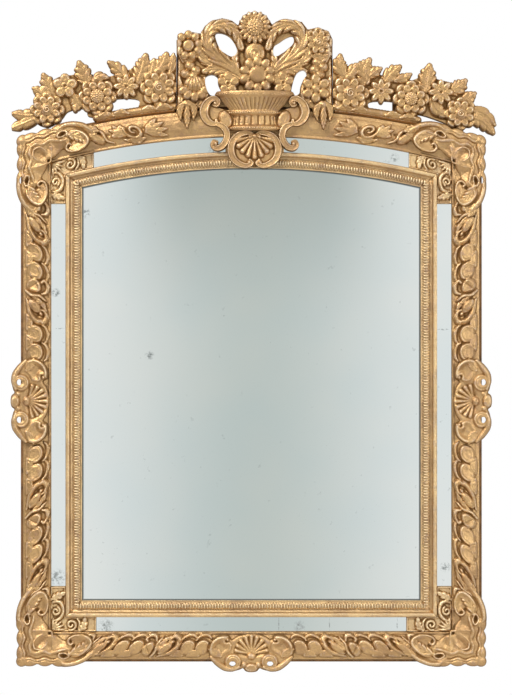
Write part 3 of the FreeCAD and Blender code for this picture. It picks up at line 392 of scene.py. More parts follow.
class Carving:
    """A face cut as depths over a plane, in millimetres: u and v lie in the plane and front is the depth.

    wood tells how far inside the outline a place lies; where it is negative, the piece is cut away.
    """
    far = 99.0

    def __init__(self, u_range, v_range, u_step, v_step, solid):
        lines = [np.linspace(low, high, round((high - low) / step) + 1)
                 for (low, high), step in ((u_range, u_step), (v_range, v_step))]
        self.lines, self.steps = lines, (lines[0][1] - lines[0][0], lines[1][1] - lines[1][0])
        self.u, self.v = np.meshgrid(*lines, indexing="ij")
        self.front, self.ground = np.zeros_like(self.u), np.zeros_like(self.u)
        self.wood = np.full_like(self.u, 1.0 if solid else -self.far)

    def lay_ground(self, depth):
        self.front[:] = depth
        self.ground[:] = depth

    def window(self, points, reach):
        """The part of the grid within reach of some points."""
        low, high = np.min(points, 0) - reach, np.max(points, 0) + reach
        ends = [np.searchsorted(line, (a, b)) for line, a, b in zip(self.lines, low, high)]
        return tuple(slice(max(a, 0), max(b, 1)) for a, b in ends)

    def lay(self, window, inside, height, base):
        """Builds the face up to base plus height where inside is positive; no base stands on the ground."""
        depth = (self.ground[window] if base is None else base) + height
        front = self.front[window]
        np.copyto(front, np.maximum(front, depth), where=inside > 0)
        self.wood[window] = np.maximum(self.wood[window], inside)

    def oval(self, place, length, breadth, turn, rise, base=None, cup=0.0, tip=0.0):
        """A ball, petal or lobe, turned by degrees; cup hollows its face and tip raises its far end."""
        reach = max(length, breadth) + 4 * max(self.steps)
        window = self.window([place], reach)
        du, dv = self.u[window] - place[0], self.v[window] - place[1]
        c, s = math.cos(math.radians(turn)), math.sin(math.radians(turn))
        along = (du * c + dv * s) / length
        away = np.hypot(along, (dv * c - du * s) / breadth)
        flank = np.clip(1 - away ** 2, 0, None)
        dish = 1.25 * flank ** 0.3 * (1 - 0.5 * cup * np.exp(-(away / 0.55) ** 2))
        height = rise * (dish if cup else np.sqrt(flank)) * (1 + tip * along)
        self.lay(window, (1 - away) * min(length, breadth), height, base)

    def follow(self, line, reach):
        """For places near a line: the window, the share along the line and the distance left of it."""
        window = self.window(line, reach + 4 * max(self.steps))
        start, run = line[:-1], np.diff(line, axis=0)
        du, dv = self.u[window][..., None] - start[:, 0], self.v[window][..., None] - start[:, 1]
        share = np.clip((du * run[:, 0] + dv * run[:, 1]) / np.sum(run ** 2, 1), 0, 1)
        away = np.hypot(du - share * run[:, 0], dv - share * run[:, 1])
        best = away.argmin(-1)[..., None]
        turn = np.take_along_axis(run[:, 0] * dv - run[:, 1] * du, best, -1)[..., 0]
        share = (best[..., 0] + np.take_along_axis(share, best, -1)[..., 0]) / len(run)
        return window, share, np.copysign(np.take_along_axis(away, best, -1)[..., 0], turn)

    def stroke(self, line, widths, rises, base=None, hollow=False):
        """A band along a line, rounded or hollow between rims; half widths and rises are spread along it."""
        window, share, side = self.follow(line, max(widths))
        half = np.interp(share, np.linspace(0, 1, len(widths)), widths)
        rise = np.interp(share, np.linspace(0, 1, len(rises)), rises)
        across = np.abs(side) / half
        flank = np.clip(1 - across ** 2, 0, None)
        shape = np.sqrt(flank)
        if hollow:
            shape = 0.66 * flank ** 0.25 + 0.34 * np.exp(-((across - 0.74) / 0.2) ** 2)
        self.lay(window, half - np.abs(side), rise * shape, base)

    def leaf(self, line, widths, rise, fingers, base=None, lean=1.9, notch=0.24, swelling=0.34):
        """An acanthus leaf: rounded fingers that flow towards the tip from a midrib, parted by fine veins."""
        window, share, side = self.follow(line, max(widths))
        run = np.sum(np.hypot(*np.diff(line, axis=0).T))
        away = np.abs(side)
        half = np.interp(share, np.linspace(0, 1, len(widths)), widths)
        finger = np.mod(fingers * (share - lean * away / run), 1)
        gap = 2 * np.minimum(finger, 1 - finger)
        swell = np.sqrt(gap * (2 - gap))
        half = half * (1 - notch * (1 - swell))
        edge = away / half
        spread = np.clip(1.8 * edge, 0, 1)
        rib = np.exp(-(side / (0.07 * max(widths) + 0.6)) ** 2)
        flank = np.clip(1 - edge ** 2, 0, None) ** 0.35
        shape = flank * (1.06 - swelling + swelling * swell * spread) + 0.14 * rib
        self.lay(window, half - away, rise * shape, base)

    def score(self, line, width, depth):
        """Cuts a groove along a line."""
        window, share, side = self.follow(line, 3 * width)
        run_out = np.minimum(1, 8 * np.minimum(share, 1 - share))
        self.front[window] -= depth * np.exp(-(side / width) ** 2) * run_out

    def pit(self, place, size, depth):
        """A deep round pocket, such as the undercut beside a curl."""
        away = np.hypot(self.u - place[0], self.v - place[1])
        self.front -= depth * np.exp(-(away / size) ** 2)

    def within(self, outline):
        """How far each place lies inside a closed outline."""
        ring = np.concatenate([outline, outline[:1]])
        inside = np.zeros(self.u.shape, bool)
        for (u0, v0), (u1, v1) in zip(ring[:-1], ring[1:]):
            if v0 != v1:
                crossing = u0 + (self.v - v0) * (u1 - u0) / (v1 - v0)
                inside ^= ((self.v > v0) != (self.v > v1)) & (self.u < crossing)
        away = np.full(self.u.shape, self.far)
        window, _, side = self.follow(ring, 30.0)
        away[window] = np.abs(side)
        return np.where(inside, away, -away)

    def plate(self, outline, depth):
        """Flat wood inside a closed outline, at a depth of face."""
        wood = self.within(outline)
        self.front = np.where(wood > 0, np.maximum(self.front, depth), self.front)
        self.wood = np.maximum(self.wood, wood)

    def dish(self, outline, rise, rim, hollow, fall=10.0, base=None, tip=(0.0, 0.0)):
        """A field inside a closed outline, rounded over its rim and hollowed within; tip raises one side."""
        wood = self.within(outline)
        rolled = np.clip(wood / rim, 0, 1)
        sunk = np.clip((wood - 0.7 * rim) / fall, 0, 1)
        sunk = self.blurred(self.blurred(sunk, 0.2 * fall), 0.2 * fall)
        middle, size = outline.mean(0), np.ptp(outline, 0).max() / 2
        leaning = 1 + (tip[0] * (self.u - middle[0]) + tip[1] * (self.v - middle[1])) / size
        shape = np.sqrt(1 - (1 - rolled) ** 2) - hollow * sunk ** 2 * (3 - 2 * sunk)
        self.lay((slice(None), slice(None)), wood, rise * shape * np.clip(leaning, 0.1, 2), base)

    def sink(self, outline, depth, soft):
        """Hollows the face inside a closed outline, with a soft edge."""
        share = np.clip(self.within(outline) / soft, 0, 1)
        share = self.blurred(self.blurred(share, 0.35 * soft), 0.35 * soft)
        self.front -= depth * share

    def pierce(self, outline):
        """Cuts right through inside a closed outline."""
        self.wood = np.minimum(self.wood, -self.within(outline))

    def blank(self, u, v, length, breadth):
        """Cuts an oval hole right through."""
        away = (np.hypot((self.u - u) / length, (self.v - v) / breadth) - 1) * min(length, breadth)
        np.minimum(self.wood, away, out=self.wood)

    def blurred(self, field, reach):
        """A field averaged over a square of that reach to each side."""
        for axis, step in enumerate(self.steps):
            cells = round(reach / step)
            if cells:
                pad = [(0, 0), (0, 0)]
                pad[axis] = (cells + 1, cells)
                total = np.cumsum(np.pad(field, pad, mode="edge"), axis)
                size = 2 * cells + 1
                ahead = total[size:] if axis == 0 else total[:, size:]
                behind = total[:-size] if axis == 0 else total[:, :-size]
                field = (ahead - behind) / size
        return field

    def levelled(self, field, reach, passes=2):
        """A field averaged over its neighbourhood, counting the wood alone."""
        share = (self.wood > 0) + 1e-6
        total = field * share
        for _ in range(passes):
            total, share = self.blurred(total, reach), self.blurred(share, reach)
        return total / share

    def gessoed(self):
        """The face under its gesso: deep hollows are half filled and edges softened."""
        gesso_reach, gesso_depth, brush_reach = 4.0, 3.4, 1.3
        level = self.levelled(self.front, gesso_reach) - gesso_depth
        filled = np.where(self.front < level, 0.5 * self.front + 0.5 * level, self.front)
        soft = 0.5 * filled + 0.5 * self.levelled(filled, brush_reach, passes=1)
        return np.where(self.wood > 0, soft, filled)

    def relief_of(self, face):
        """High places near 1 and low ones near 0, measured over a fine and a broad neighbourhood."""
        lift = 0
        for reach, scale in ((1.8, 2.6), (6.0, 24.0)):
            lift = lift + (face - self.levelled(face, reach)) / scale
        return np.clip(0.5 + 0.5 * lift, 0, 1)

    def drawn_in(self):
        """The grid, with the places just outside the outline moved in to it."""
        slope_u, slope_v = np.gradient(self.wood, *self.steps)
        steep = np.maximum(slope_u ** 2 + slope_v ** 2, 0.1)
        move = np.where(self.wood > 0, 0, np.clip(-self.wood, 0, 2 * max(self.steps)) / steep)
        return self.u + move * slope_u, self.v + move * slope_v

    def shell(self, back, place):
        """The closed shell: carved face, walls down its outline and a flat back, with its relief."""
        inside = self.wood > 0
        front = self.gessoed()
        heights, back_relief = self.relief_of(front), 0.3
        u, v = self.drawn_in()
        cell = inside[:-1, :-1] | inside[1:, :-1] | inside[1:, 1:] | inside[:-1, 1:]
        index = np.zeros(self.u.shape, int)
        for a in (slice(None, -1), slice(1, None)):
            for b in (slice(None, -1), slice(1, None)):
                index[a, b] |= cell
        used = index > 0
        count = int(used.sum())
        index[used] = np.arange(count)
        corners = [index[:-1, :-1], index[1:, :-1], index[1:, 1:], index[:-1, 1:]]
        face = np.stack([corner[cell] for corner in corners], -1)
        quads = [face, face[:, ::-1] + count]
        framed = np.pad(cell, 1)
        beside = (framed[1:-1, :-2], framed[2:, 1:-1], framed[1:-1, 2:], framed[:-2, 1:-1])
        for k, neighbour in enumerate(beside):
            bare = cell & ~neighbour
            a, b = corners[k][bare], corners[(k + 1) % 4][bare]
            quads.append(np.stack([b, a, a + count, b + count], -1))
        faces = np.concatenate(quads)
        points = [np.stack(place(u[used], v[used], depth), -1)
                  for depth in (front[used], np.full(count, float(back)))]
        first = points[0][face[0]]
        if np.cross(first[1] - first[0], first[3] - first[0])[1] > 0:
            faces = faces[:, ::-1]
        relief_shown = np.concatenate([heights[used], np.full(count, back_relief)])
        return np.concatenate(points) * mm, faces, relief_shown


arch_centre, carcass_radius = arch_middle / mm, carcass_arch / mm


def arch_at(radius, x):
    """Height of an arch of the frame at x."""
    return arch_centre + np.sqrt(radius ** 2 - np.asarray(x, float) ** 2)


def lengths(half, foot, radius, width):
    """The four mitred lengths of a moulding: name, length, and where u along, v across and depth lie."""
    head = float(arch_at(radius, half))
    rise = float(arch_at(radius + width, half + width)) - head
    inner_turn = math.asin(half / radius)
    outer_turn = math.asin((half + width) / (radius + width))

    def upright(side):
        def place(u, v, depth):
            low, high = foot - v, head + rise * v / width
            return side * (half + v), -depth, low + (high - low) * u / (head - foot)
        return place

    def bottom(u, v, depth):
        return (half + v) * (u / half - 1), -depth, foot - v

    def top(u, v, depth):
        turn = (inner_turn + (outer_turn - inner_turn) * v / width) * (u / half - 1)
        return (radius + v) * np.sin(turn), -depth, arch_centre + (radius + v) * np.cos(turn)

    return (("right", head - foot, upright(1)), ("left", head - foot, upright(-1)),
            ("bottom", 2 * half, bottom), ("top", 2 * half, top))


(sight_half, inner_half), _, (moulding_back, _) = span("inner_moulding_right")
sight_foot = span("inner_moulding_bottom")[1][1]
rebate_width, glass_room = glass_lap / mm, 5.5
sight_radius = span("main_plate")[1][1] - rebate_width - arch_centre
inner_width = inner_half - sight_half
inner_steps, foot_inset = (6.0, 0.75), 0.5
bead_middle, bead_depth, bead_pitch = 12.8, 38.0, 6.6
bead_size = (2.6 * mm, 9.4 * mm, 4.8 * mm)

# Face of the inner moulding, from the sight edge out: distance and depth
inner_face = ((0.0, 35.0), (0.8, 36.2), (2.4, 36.2), (3.6, 34.4), (5.0, 35.0), (8.0, 37.4), (12.8, 38.6),
              (17.6, 37.4), (20.6, 35.0), (22.4, 34.6), (23.4, 36.4), (26.0, 37.2), (28.6, 40.4),
              (30.0, 45.0), (31.0, 46.0), (36.6, 46.0), (38.0, 45.4), (39.0, 43.0))


def moulding_foot(length, across, place):
    """The plain wood of a moulding between its rebates, which stands on the carcass."""
    overlap, clearance = 0.5, 0.2
    foot = Carving((0, length), across, 12.0, 10.0, solid=True)
    foot.lay_ground(moulding_back + glass_room + overlap)
    return foot.shell(moulding_back + clearance, place)


for name, length, place in lengths(sight_half, sight_foot, sight_radius, inner_width):
    board = Carving((0, length), (0, inner_width), *inner_steps, solid=True)
    board.lay_ground(np.interp(board.v, *zip(*inner_face)))
    foot_across = rebate_width + foot_inset, inner_width - rebate_width - foot_inset
    shells = [board.shell(moulding_back + glass_room, place), moulding_foot(length, foot_across, place)]
    gilt_piece("gilt_inner_moulding_" + name, shells, lit_moulding_gold, ["inner_moulding_" + name])


def close_carving(name, path_points, pitch, size, shade_and_highlight, material, seed):
    """Rounded carvings close along paths, by geometry nodes; size is half of each along, across and out. Each
    bead's relief runs from its foot to its crown, which the gilding paints as shade and highlight.
    """
    mesh = bpy.data.meshes.new(name)
    count = np.cumsum([0] + [len(path) for path in path_points])
    edges = [(k, k + 1) for a, b in zip(count[:-1], count[1:]) for k in range(a, b - 1)]
    mesh.from_pydata([tuple(p) for path in path_points for p in path], edges, [])
    carrier = bpy.data.objects.new(name, mesh)
    bpy.context.scene.collection.objects.link(carrier)
    tree = bpy.data.node_groups.new(name, "GeometryNodeTree")
    sockets = {}
    for socket, kind, way in (("Path", "Geometry", "INPUT"), ("Pitch", "Float", "INPUT"),
                              ("Size", "Vector", "INPUT"), ("Uneven", "Float", "INPUT"),
                              ("Finish", "Material", "INPUT"), ("Carving", "Geometry", "OUTPUT")):
        made = tree.interface.new_socket(socket, in_out=way, socket_type="NodeSocket" + kind)
        sockets[socket] = made.identifier
    given = tree.nodes.new("NodeGroupInput").outputs
    curve = node(tree, "GeometryNodeMeshToCurve", {0: given["Path"]}).outputs[0]
    even = node(tree, "GeometryNodeResampleCurve", {"Curve": curve, "Length": given["Pitch"]}, mode="LENGTH")
    ball = node(tree, "GeometryNodeMeshUVSphere", {"Segments": 10, "Rings": 8, "Radius": 1.0}).outputs[0]
    spot = node(tree, "GeometryNodeInputPosition").outputs[0]
    height = node(tree, "ShaderNodeSeparateXYZ", {0: spot}).outputs["Z"]
    low_shown, high_shown = shade_and_highlight
    # Painted shade and highlight: low relief at the foot of each bead darkens it, high relief at the crown
    # lightens it.
    shade = node(tree, "ShaderNodeMapRange", {0: height, 1: 0.1, 2: 0.95, 3: low_shown, 4: high_shown})
    marks = {"Geometry": ball, "Name": "relief", "Value": shade.outputs[0]}
    marked = node(tree, "GeometryNodeStoreNamedAttribute", marks, data_type="FLOAT", domain="POINT")
    rounded = node(tree, "GeometryNodeSetShadeSmooth", {0: marked.outputs[0]}).outputs[0]
    tangent = node(tree, "GeometryNodeInputTangent").outputs[0]
    turned = node(tree, "FunctionNodeAlignRotationToVector", {"Vector": tangent}, axis="X").outputs[0]
    faced = node(tree, "FunctionNodeAlignRotationToVector", {"Rotation": turned, "Vector": (0.0, -1.0, 0.0)},
                 axis="Z", pivot_axis="X").outputs[0]
    chance = node(tree, "FunctionNodeRandomValue", {"Seed": seed}, data_type="FLOAT")
    spare = maths(tree, "SUBTRACT", 1.0, maths(tree, "MULTIPLY", chance.outputs[1], given["Uneven"]))
    sized = {0: given["Size"], "Scale": spare}
    scale = node(tree, "ShaderNodeVectorMath", sized, operation="SCALE").outputs[0]
    feeds = {"Points": even.outputs[0], "Instance": rounded, "Rotation": faced, "Scale": scale}
    set_out = node(tree, "GeometryNodeInstanceOnPoints", feeds).outputs[0]
    real = node(tree, "GeometryNodeRealizeInstances", {0: set_out}).outputs[0]
    done = node(tree, "GeometryNodeSetMaterial", {"Geometry": real, "Material": given["Finish"]}).outputs[0]
    tree.links.new(done, tree.nodes.new("NodeGroupOutput").inputs["Carving"])
    modifier = carrier.modifiers.new("carving", "NODES")
    modifier.node_group = tree
    for socket, value in (("Pitch", pitch), ("Size", size), ("Uneven", 0.14), ("Finish", material)):
        modifier[sockets[socket]] = value
    carved = bpy.data.meshes.new_from_object(carrier.evaluated_get(bpy.context.evaluated_depsgraph_get()))
    carrier.modifiers.remove(modifier)
    carrier.data = carved
    carved.name = name
    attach(carrier, "frame")
    return carrier


def bead_paths():
    """Middle of the half round in each length, stopping short of the mitres."""
    count = 60
    for _, length, place in lengths(sight_half, sight_foot, sight_radius, inner_width):
        along = np.linspace(0.004, 0.996, count) * length
        yield np.stack(place(along, np.full(count, bead_middle), np.full(count, bead_depth)), -1) * mm


close_carving("inner_moulding_gadroons", list(bead_paths()), bead_pitch * mm, bead_size, (-0.3, 1.0),
              lit_gadroon_gold, seed=3)


# Outer moulding.
# Four mitred lengths of pine, pinned through the carcass: a fillet beside the border plates and a broad
# swelling carved with rimmed lobes and acanthus fronds, gessoed, recut and water gilt.

ornament_gold = gilt("ornament gilding", 0.65, 0.0008, Leaf=(0.66, 0.42, 0.19, 1))

border_half, outer_half = span("outer_moulding_right")[0]
outer_foot, border_foot = span("outer_moulding_bottom")[1]
outer_width = outer_half - border_half
border_radius = sight_radius + inner_width + (border_half - inner_half)
outer_radius = border_radius + outer_width

# Face of the outer moulding, from the border plates out: distance and depth
outer_face = ((0.0, 41.5), (1.0, 43.0), (3.6, 43.4), (5.0, 42.0), (6.5, 41.6), (13.0, 43.6), (24.0, 46.6),
              (38.0, 47.4), (50.0, 46.2), (56.0, 43.4), (58.5, 41.0), (60.0, 40.6), (64.0, 40.0),
              (66.0, 38.5))


def smooth(points, count=26, closed=False):
    """Points of a smooth curve through given points."""
    points = np.array(points, float)
    if closed:
        whole = np.concatenate([points[-1:], points, points[:2]])
    else:
        whole = np.concatenate([[2 * points[0] - points[1]], points, [2 * points[-1] - points[-2]]])
    spans = len(whole) - 3
    shares = np.linspace(0, spans, count, endpoint=not closed)
    first = np.minimum(shares.astype(int), spans - 1)
    t = (shares - first)[:, None]
    p0, p1, p2, p3 = (whole[first + k] for k in range(4))
    return 0.5 * (2 * p1 + (p2 - p0) * t + (2 * p0 - 5 * p1 + 4 * p2 - p3) * t ** 2
                  + (3 * p1 - p0 - 3 * p2 + p3) * t ** 3)


def through(at, points, count=26, closed=False):
    """A smooth curve through points in a measure of their own, which at turns into places on the board."""
    return smooth([at(*point) for point in points], count, closed)


def spiral(place, outer, inner, start, turn, count=40):
    """A curl about a place, from its outer radius in to its inner one; angles in degrees."""
    angles = np.radians(start + np.linspace(0, turn, count))
    radii = np.linspace(outer, inner, count)
    return np.stack([place[0] + radii * np.cos(angles), place[1] + radii * np.sin(angles)], -1)


def rimmed_lobe(board, at, u, v, size):
    """A domed lobe with a line cut inside its edge on the glass side, sinking into the rail behind."""
    def near(along, across):
        return at(u + size * along, v + size * across)

    way = math.copysign(1.0, at(1, 0)[0] - at(0, 0)[0])
    outline = through(near, [(-0.95, 0.1), (-0.8, -0.6), (-0.1, -0.98), (0.68, -0.75), (1.0, 0.0),
                             (0.75, 0.7), (0.05, 0.95), (-0.7, 0.75)], 36, closed=True)
    board.dish(outline, 9.2, 5.2, 0.22, 9.0, tip=(0.1 * way, -0.54))
    rim = through(near, [(-0.74, 0.4), (-0.66, -0.34), (-0.05, -0.7), (0.55, -0.5), (0.74, 0.3)], 30)
    board.score(rim, 1.3, 3.2)
    board.pit(near(1.0, -0.85), 3.0, 4.0)


def rail_run(board, start, end):
    """Lobes, half lobes, scrolls and folded leaves along one stretch of rail, from its start to its end."""
    module = 170.0
    half_lobe = ((-16, 59), (-12, 47), (0, 41), (12, 47), (16, 59))
    half_rim = ((-11, 57), (-7, 49), (0, 46), (7, 49), (11, 57))
    undercuts = (((99, 30), 3.0), ((131, 12), 2.6), ((133, 46), 3.0), ((180, 48), 3.0), ((83, 24), 3.0),
                 ((41, 24), 3.0))
    count = max(1, round(abs(end - start) / (1.06 * module)))
    pitch = (end - start) / count
    way = math.copysign(1.0, pitch)
    for k in range(count):
        def at(along, across):
            return start + (k + along / module) * pitch, across

        def scroll(spots, widths, rises):
            board.stroke(through(at, spots, 40), widths, rises)

        for along in (41, 82):
            outline = [(along + side, across) for side, across in half_lobe]
            board.dish(through(at, outline, 30, closed=True), 8.0, 4.6, 0.25, 7.0, tip=(0.0, -0.4))
            rim = [(along + side, across) for side, across in half_rim]
            board.score(through(at, rim), 1.2, 2.6)
        rimmed_lobe(board, at, 22, 36, 19.0)
        rimmed_lobe(board, at, 60, 36, 19.0)
        for along in (2, 40):
            scroll([(along, 15), (along + 9, 8), (along + 24, 7), (along + 36, 12), (along + 40, 20)],
                   (2.0, 4.0, 4.6, 4.2, 2.0), (6.0, 8.0, 8.5, 9.0, 8.0))
        scroll([(112, 26), (110, 14), (98, 9), (87, 17), (88, 34), (102, 48), (128, 57)],
               (2.5, 4.4, 6.4, 7.0, 7.4, 6.6, 3.0), (9.0, 11.0, 12.0, 12.0, 11.5, 10.5, 7.0))
        board.oval(at(104, 22), 5, 5, 0, 11.0)
        board.oval(at(118, 37), 18, 12, 48 * way, 12.0, cup=0.3)
        frond = through(at, [(112, 10), (126, 20), (137, 42)])
        board.leaf(frond, (3.0, 7.0, 7.0, 3.0), 10.5, 3, notch=0.35)
        scroll([(134, 12), (141, 26), (139, 44), (145, 59)], (3.0, 4.4, 4.4, 3.0), (9.0, 12.0, 12.0, 8.0))
        folded = [(146, 32), (155, 22), (168, 24), (176, 36), (170, 50), (156, 58), (147, 48)]
        board.dish(through(at, folded, 36, closed=True), 9.6, 5.4, 0.24, 9.0, tip=(0.0, -0.45))
        board.score(through(at, [(150, 52), (161, 40), (171, 28)]), 1.4, 3.2)
        scroll([(146, 20), (153, 9), (167, 7), (176, 14), (170, 21)], (2.5, 4.6, 5.2, 4.4, 3.0),
               (8.0, 11.0, 11.0, 11.0, 9.0))
        for spot, size in undercuts:
            board.pit(at(*spot), size, 5.0)


def top_run(board, middle, side):
    """The worn, low carving of the top rail, from the husk out to the corner: fans, a curl and leaves."""
    def at(along, across):
        return middle + side * along, across

    for tip in ((193, 14), (188, 30), (192, 46), (204, 56)):
        bend = (0.45 * tip[0] + 0.55 * 238, 0.5 * tip[1] + 0.5 * 26)
        board.leaf(through(at, [(238, 26), bend, tip]), (3.0, 8.0, 7.5, 2.0), 8.0, 2, lean=1.0)
    curl = spiral(at(262, 34), 21.0, 4.0, 90 - side * 60, -side * 480)
    board.stroke(curl, (4.6, 4.6, 3.6, 2.4), (9.0, 10.0, 10.0, 9.0))
    board.leaf(through(at, [(246, 14), (268, 9), (292, 16)]), (3.0, 7.0, 7.0, 2.0), 7.5, 3)
    for tip in ((282, 52), (297, 54), (310, 44), (314, 28)):
        bend = (0.5 * tip[0] + 145, 0.5 * tip[1] + 15)
        board.leaf(through(at, [(286, 26), bend, tip]), (3.0, 7.5, 7.5, 2.0), 8.0, 2, lean=1.0)
    bar = through(at, [(318, 12), (330, 22), (328, 42), (338, 56)])
    board.stroke(bar, (2.5, 4.4, 4.4, 2.5), (8.0, 10.0, 10.0, 8.0))
    board.oval(at(346, 30), 13, 17, -side * 20, 9.0, cup=0.4)
    board.oval(at(362, 42), 11, 14, side * 25, 9.0, cup=0.4)
    for spot in ((240, 38), (284, 14), (320, 34), (356, 20)):
        board.pit(at(*spot), 3.0, 4.0)


# Ends of each carved stretch, from the middle of the length out
bottom_stretch, stile_stretch = (90.0, 386.0), (92.0, 462.0)
outer_steps, edge_inset = (1.5, 1.375), 0.4
for name, length, place in lengths(border_half, border_foot, border_radius, outer_width):
    board = Carving((0, length), (0, outer_width), *outer_steps, solid=True)
    board.lay_ground(np.interp(board.v, *zip(*outer_face)))
    middle = length / 2 if name in ("top", "bottom") else -border_foot
    for side in (1, -1):
        if name == "top":
            top_run(board, middle, side)
        else:
            start, end = bottom_stretch if name == "bottom" else stile_stretch
            rail_run(board, middle + side * start, middle + side * end)
    foot_across = rebate_width + foot_inset, outer_width - edge_inset
    shells = [board.shell(moulding_back + glass_room, place), moulding_foot(length, foot_across, place)]
    gilt_piece("gilt_outer_moulding_" + name, shells, ornament_gold, ["outer_moulding_" + name])


# Corner panels.
# Four carved L-shaped pieces let in flush between the ends of the border plates and the two mouldings.
# A C-scroll, a curl and a leaf fill the upright leg, a curl and a leaf the level one, and fronds the corner.

panel_ground, panel_step, panel_gap, panel_leg = 35.0, 1.2, 0.3, 35.4


def box_wood(board, u_range, v_range):
    """How far each place lies inside an upright rectangle."""
    sides = (board.u - u_range[0], u_range[1] - board.u, board.v - v_range[0], v_range[1] - board.v)
    return np.minimum.reduce(sides)


def arch_wood(board, low_radius, high_radius, start):
    """How far each place lies inside an arched band, outwards of an upright end."""
    radius = np.hypot(board.u, board.v - arch_centre)
    return np.minimum.reduce((radius - low_radius, high_radius - radius, board.u - start))


def panel_carving(board, corner, rail, stile):
    """Rail and stile are unit steps from the panel's outer corner along its two legs."""
    def at(p, q):
        return corner[0] + p * rail[0] + q * stile[0], corner[1] + p * rail[1] + q * stile[1]

    def curl(place, outer, start, turn):
        line = np.array([at(*spot) for spot in spiral(place, outer, 3.0, start, turn, 44)])
        board.stroke(line, (3.4, 3.6, 3.2, 2.6), (6.5, 8.0, 8.0, 8.0))

    c_scroll = through(at, [(3, 70), (12, 73), (24, 70), (30, 56), (28, 42), (18, 30), (3, 26)], 40)
    board.stroke(c_scroll, (3.0, 4.2, 5.0, 5.2, 5.0, 4.2, 2.6), (6.0, 7.0, 8.5, 8.5, 8.5, 7.0, 6.0))
    curl((12, 50), 10.5, 60, -420)
    upright_leaf = through(at, [(1, 78), (14, 84), (34, 94)])
    board.leaf(upright_leaf, (4.0, 9.0, 10.0, 4.0), 8.5, 3, lean=1.0, notch=0.4)
    curl((49, 17), 13.5, 250, 470)
    board.stroke(through(at, [(62, 33), (69, 22), (66, 4)]), (2.0, 3.0, 2.0), (5.0, 6.5, 5.0))
    level_leaf = through(at, [(70, 2), (79, 14), (82, 33)])
    board.leaf(level_leaf, (4.0, 9.0, 9.0, 4.0), 8.5, 3, lean=1.0, notch=0.4)
    for turn in (4, 25, 45, 65, 86):
        c, s = math.cos(math.radians(turn)), math.sin(math.radians(turn))
        frond = [(4 + reach * c, 4 + reach * s) for reach in (3, 17, 29)]
        board.stroke(through(at, frond), (1.6, 4.2, 1.4), (5.0, 8.5, 6.0))
    board.oval(at(7, 7), 6, 6, 0, 6.5)


def mirrored_place(side):
    """Places drawn for the right-hand side, or turned over for the left."""
    def place(u, v, depth):
        return side * u, -depth, v
    return place


inner_radius = sight_radius + inner_width
for level in ("bottom", "top"):
    (x0, x1), (z0, z1), (panel_back, _) = span(level + "_right_corner_panel")
    board = Carving((x0 - 3, x1 + 3), (z0 - 3, z1 + 3), panel_step, panel_step, solid=False)
    board.lay_ground(panel_ground)
    stile_leg = box_wood(board, (inner_half + panel_gap, x1), (z0, z1))
    if level == "bottom":
        legs = (stile_leg, box_wood(board, (x0, x1), (z0, z0 + panel_leg)))
        panel_carving(board, (x1, z0), (-1.0, 0.0), (0.0, 1.0))
    else:
        low, high = inner_radius + panel_gap, border_radius - panel_gap
        head = high - np.hypot(board.u, board.v - arch_centre)
        legs = (np.minimum(stile_leg, head), np.minimum(arch_wood(board, low, high, x0), x1 - board.u))
        panel_carving(board, (x1, float(arch_at(border_radius, x1))), (-0.96, 0.26), (0.0, -1.0))
    board.wood = np.maximum(*legs)
    rim = np.exp(-((board.wood - 1.8) / 1.2) ** 2) * (board.wood > 0)
    board.front = np.maximum(board.front, panel_ground + 4.5 * rim)
    for name, side in (("right", 1), ("left", -1)):
        panel = f"{level}_{name}_corner_panel"
        shells = [board.shell(panel_back + glass_room, mirrored_place(side))]
        gilt_piece("gilt_" + panel, shells, lit_moulding_gold, [panel])


# Corner cartouches.
# Four applied ornaments, carved in the solid and glued and pinned over the mitres of the outer moulding:
# a lobed edge past the corner, a wavy rib, a rimmed panel on the diagonal and a curled acanthus on each arm.

ornament_back, ornament_ground, ornament_step = 46.8, 50.0, 1.2

# Half of the outline, as distances along the arm and in from the moulding's outer edge
corner_outline = ((-9, -9), (4, -13), (16, -15), (34, -10), (53, -14), (73, -10), (93, -16), (116, -15),
                  (140, -7), (161, 4), (178, 15), (189, 27), (178, 36), (164, 40), (160, 50), (147, 60),
                  (131, 62), (112, 56), (99, 48), (82, 60), (64, 63))


def on_arm(flip):
    """Places drawn for one arm of a corner, or turned over for the other."""
    def at(along, across):
        return (across, along) if flip else (along, across)
    return at


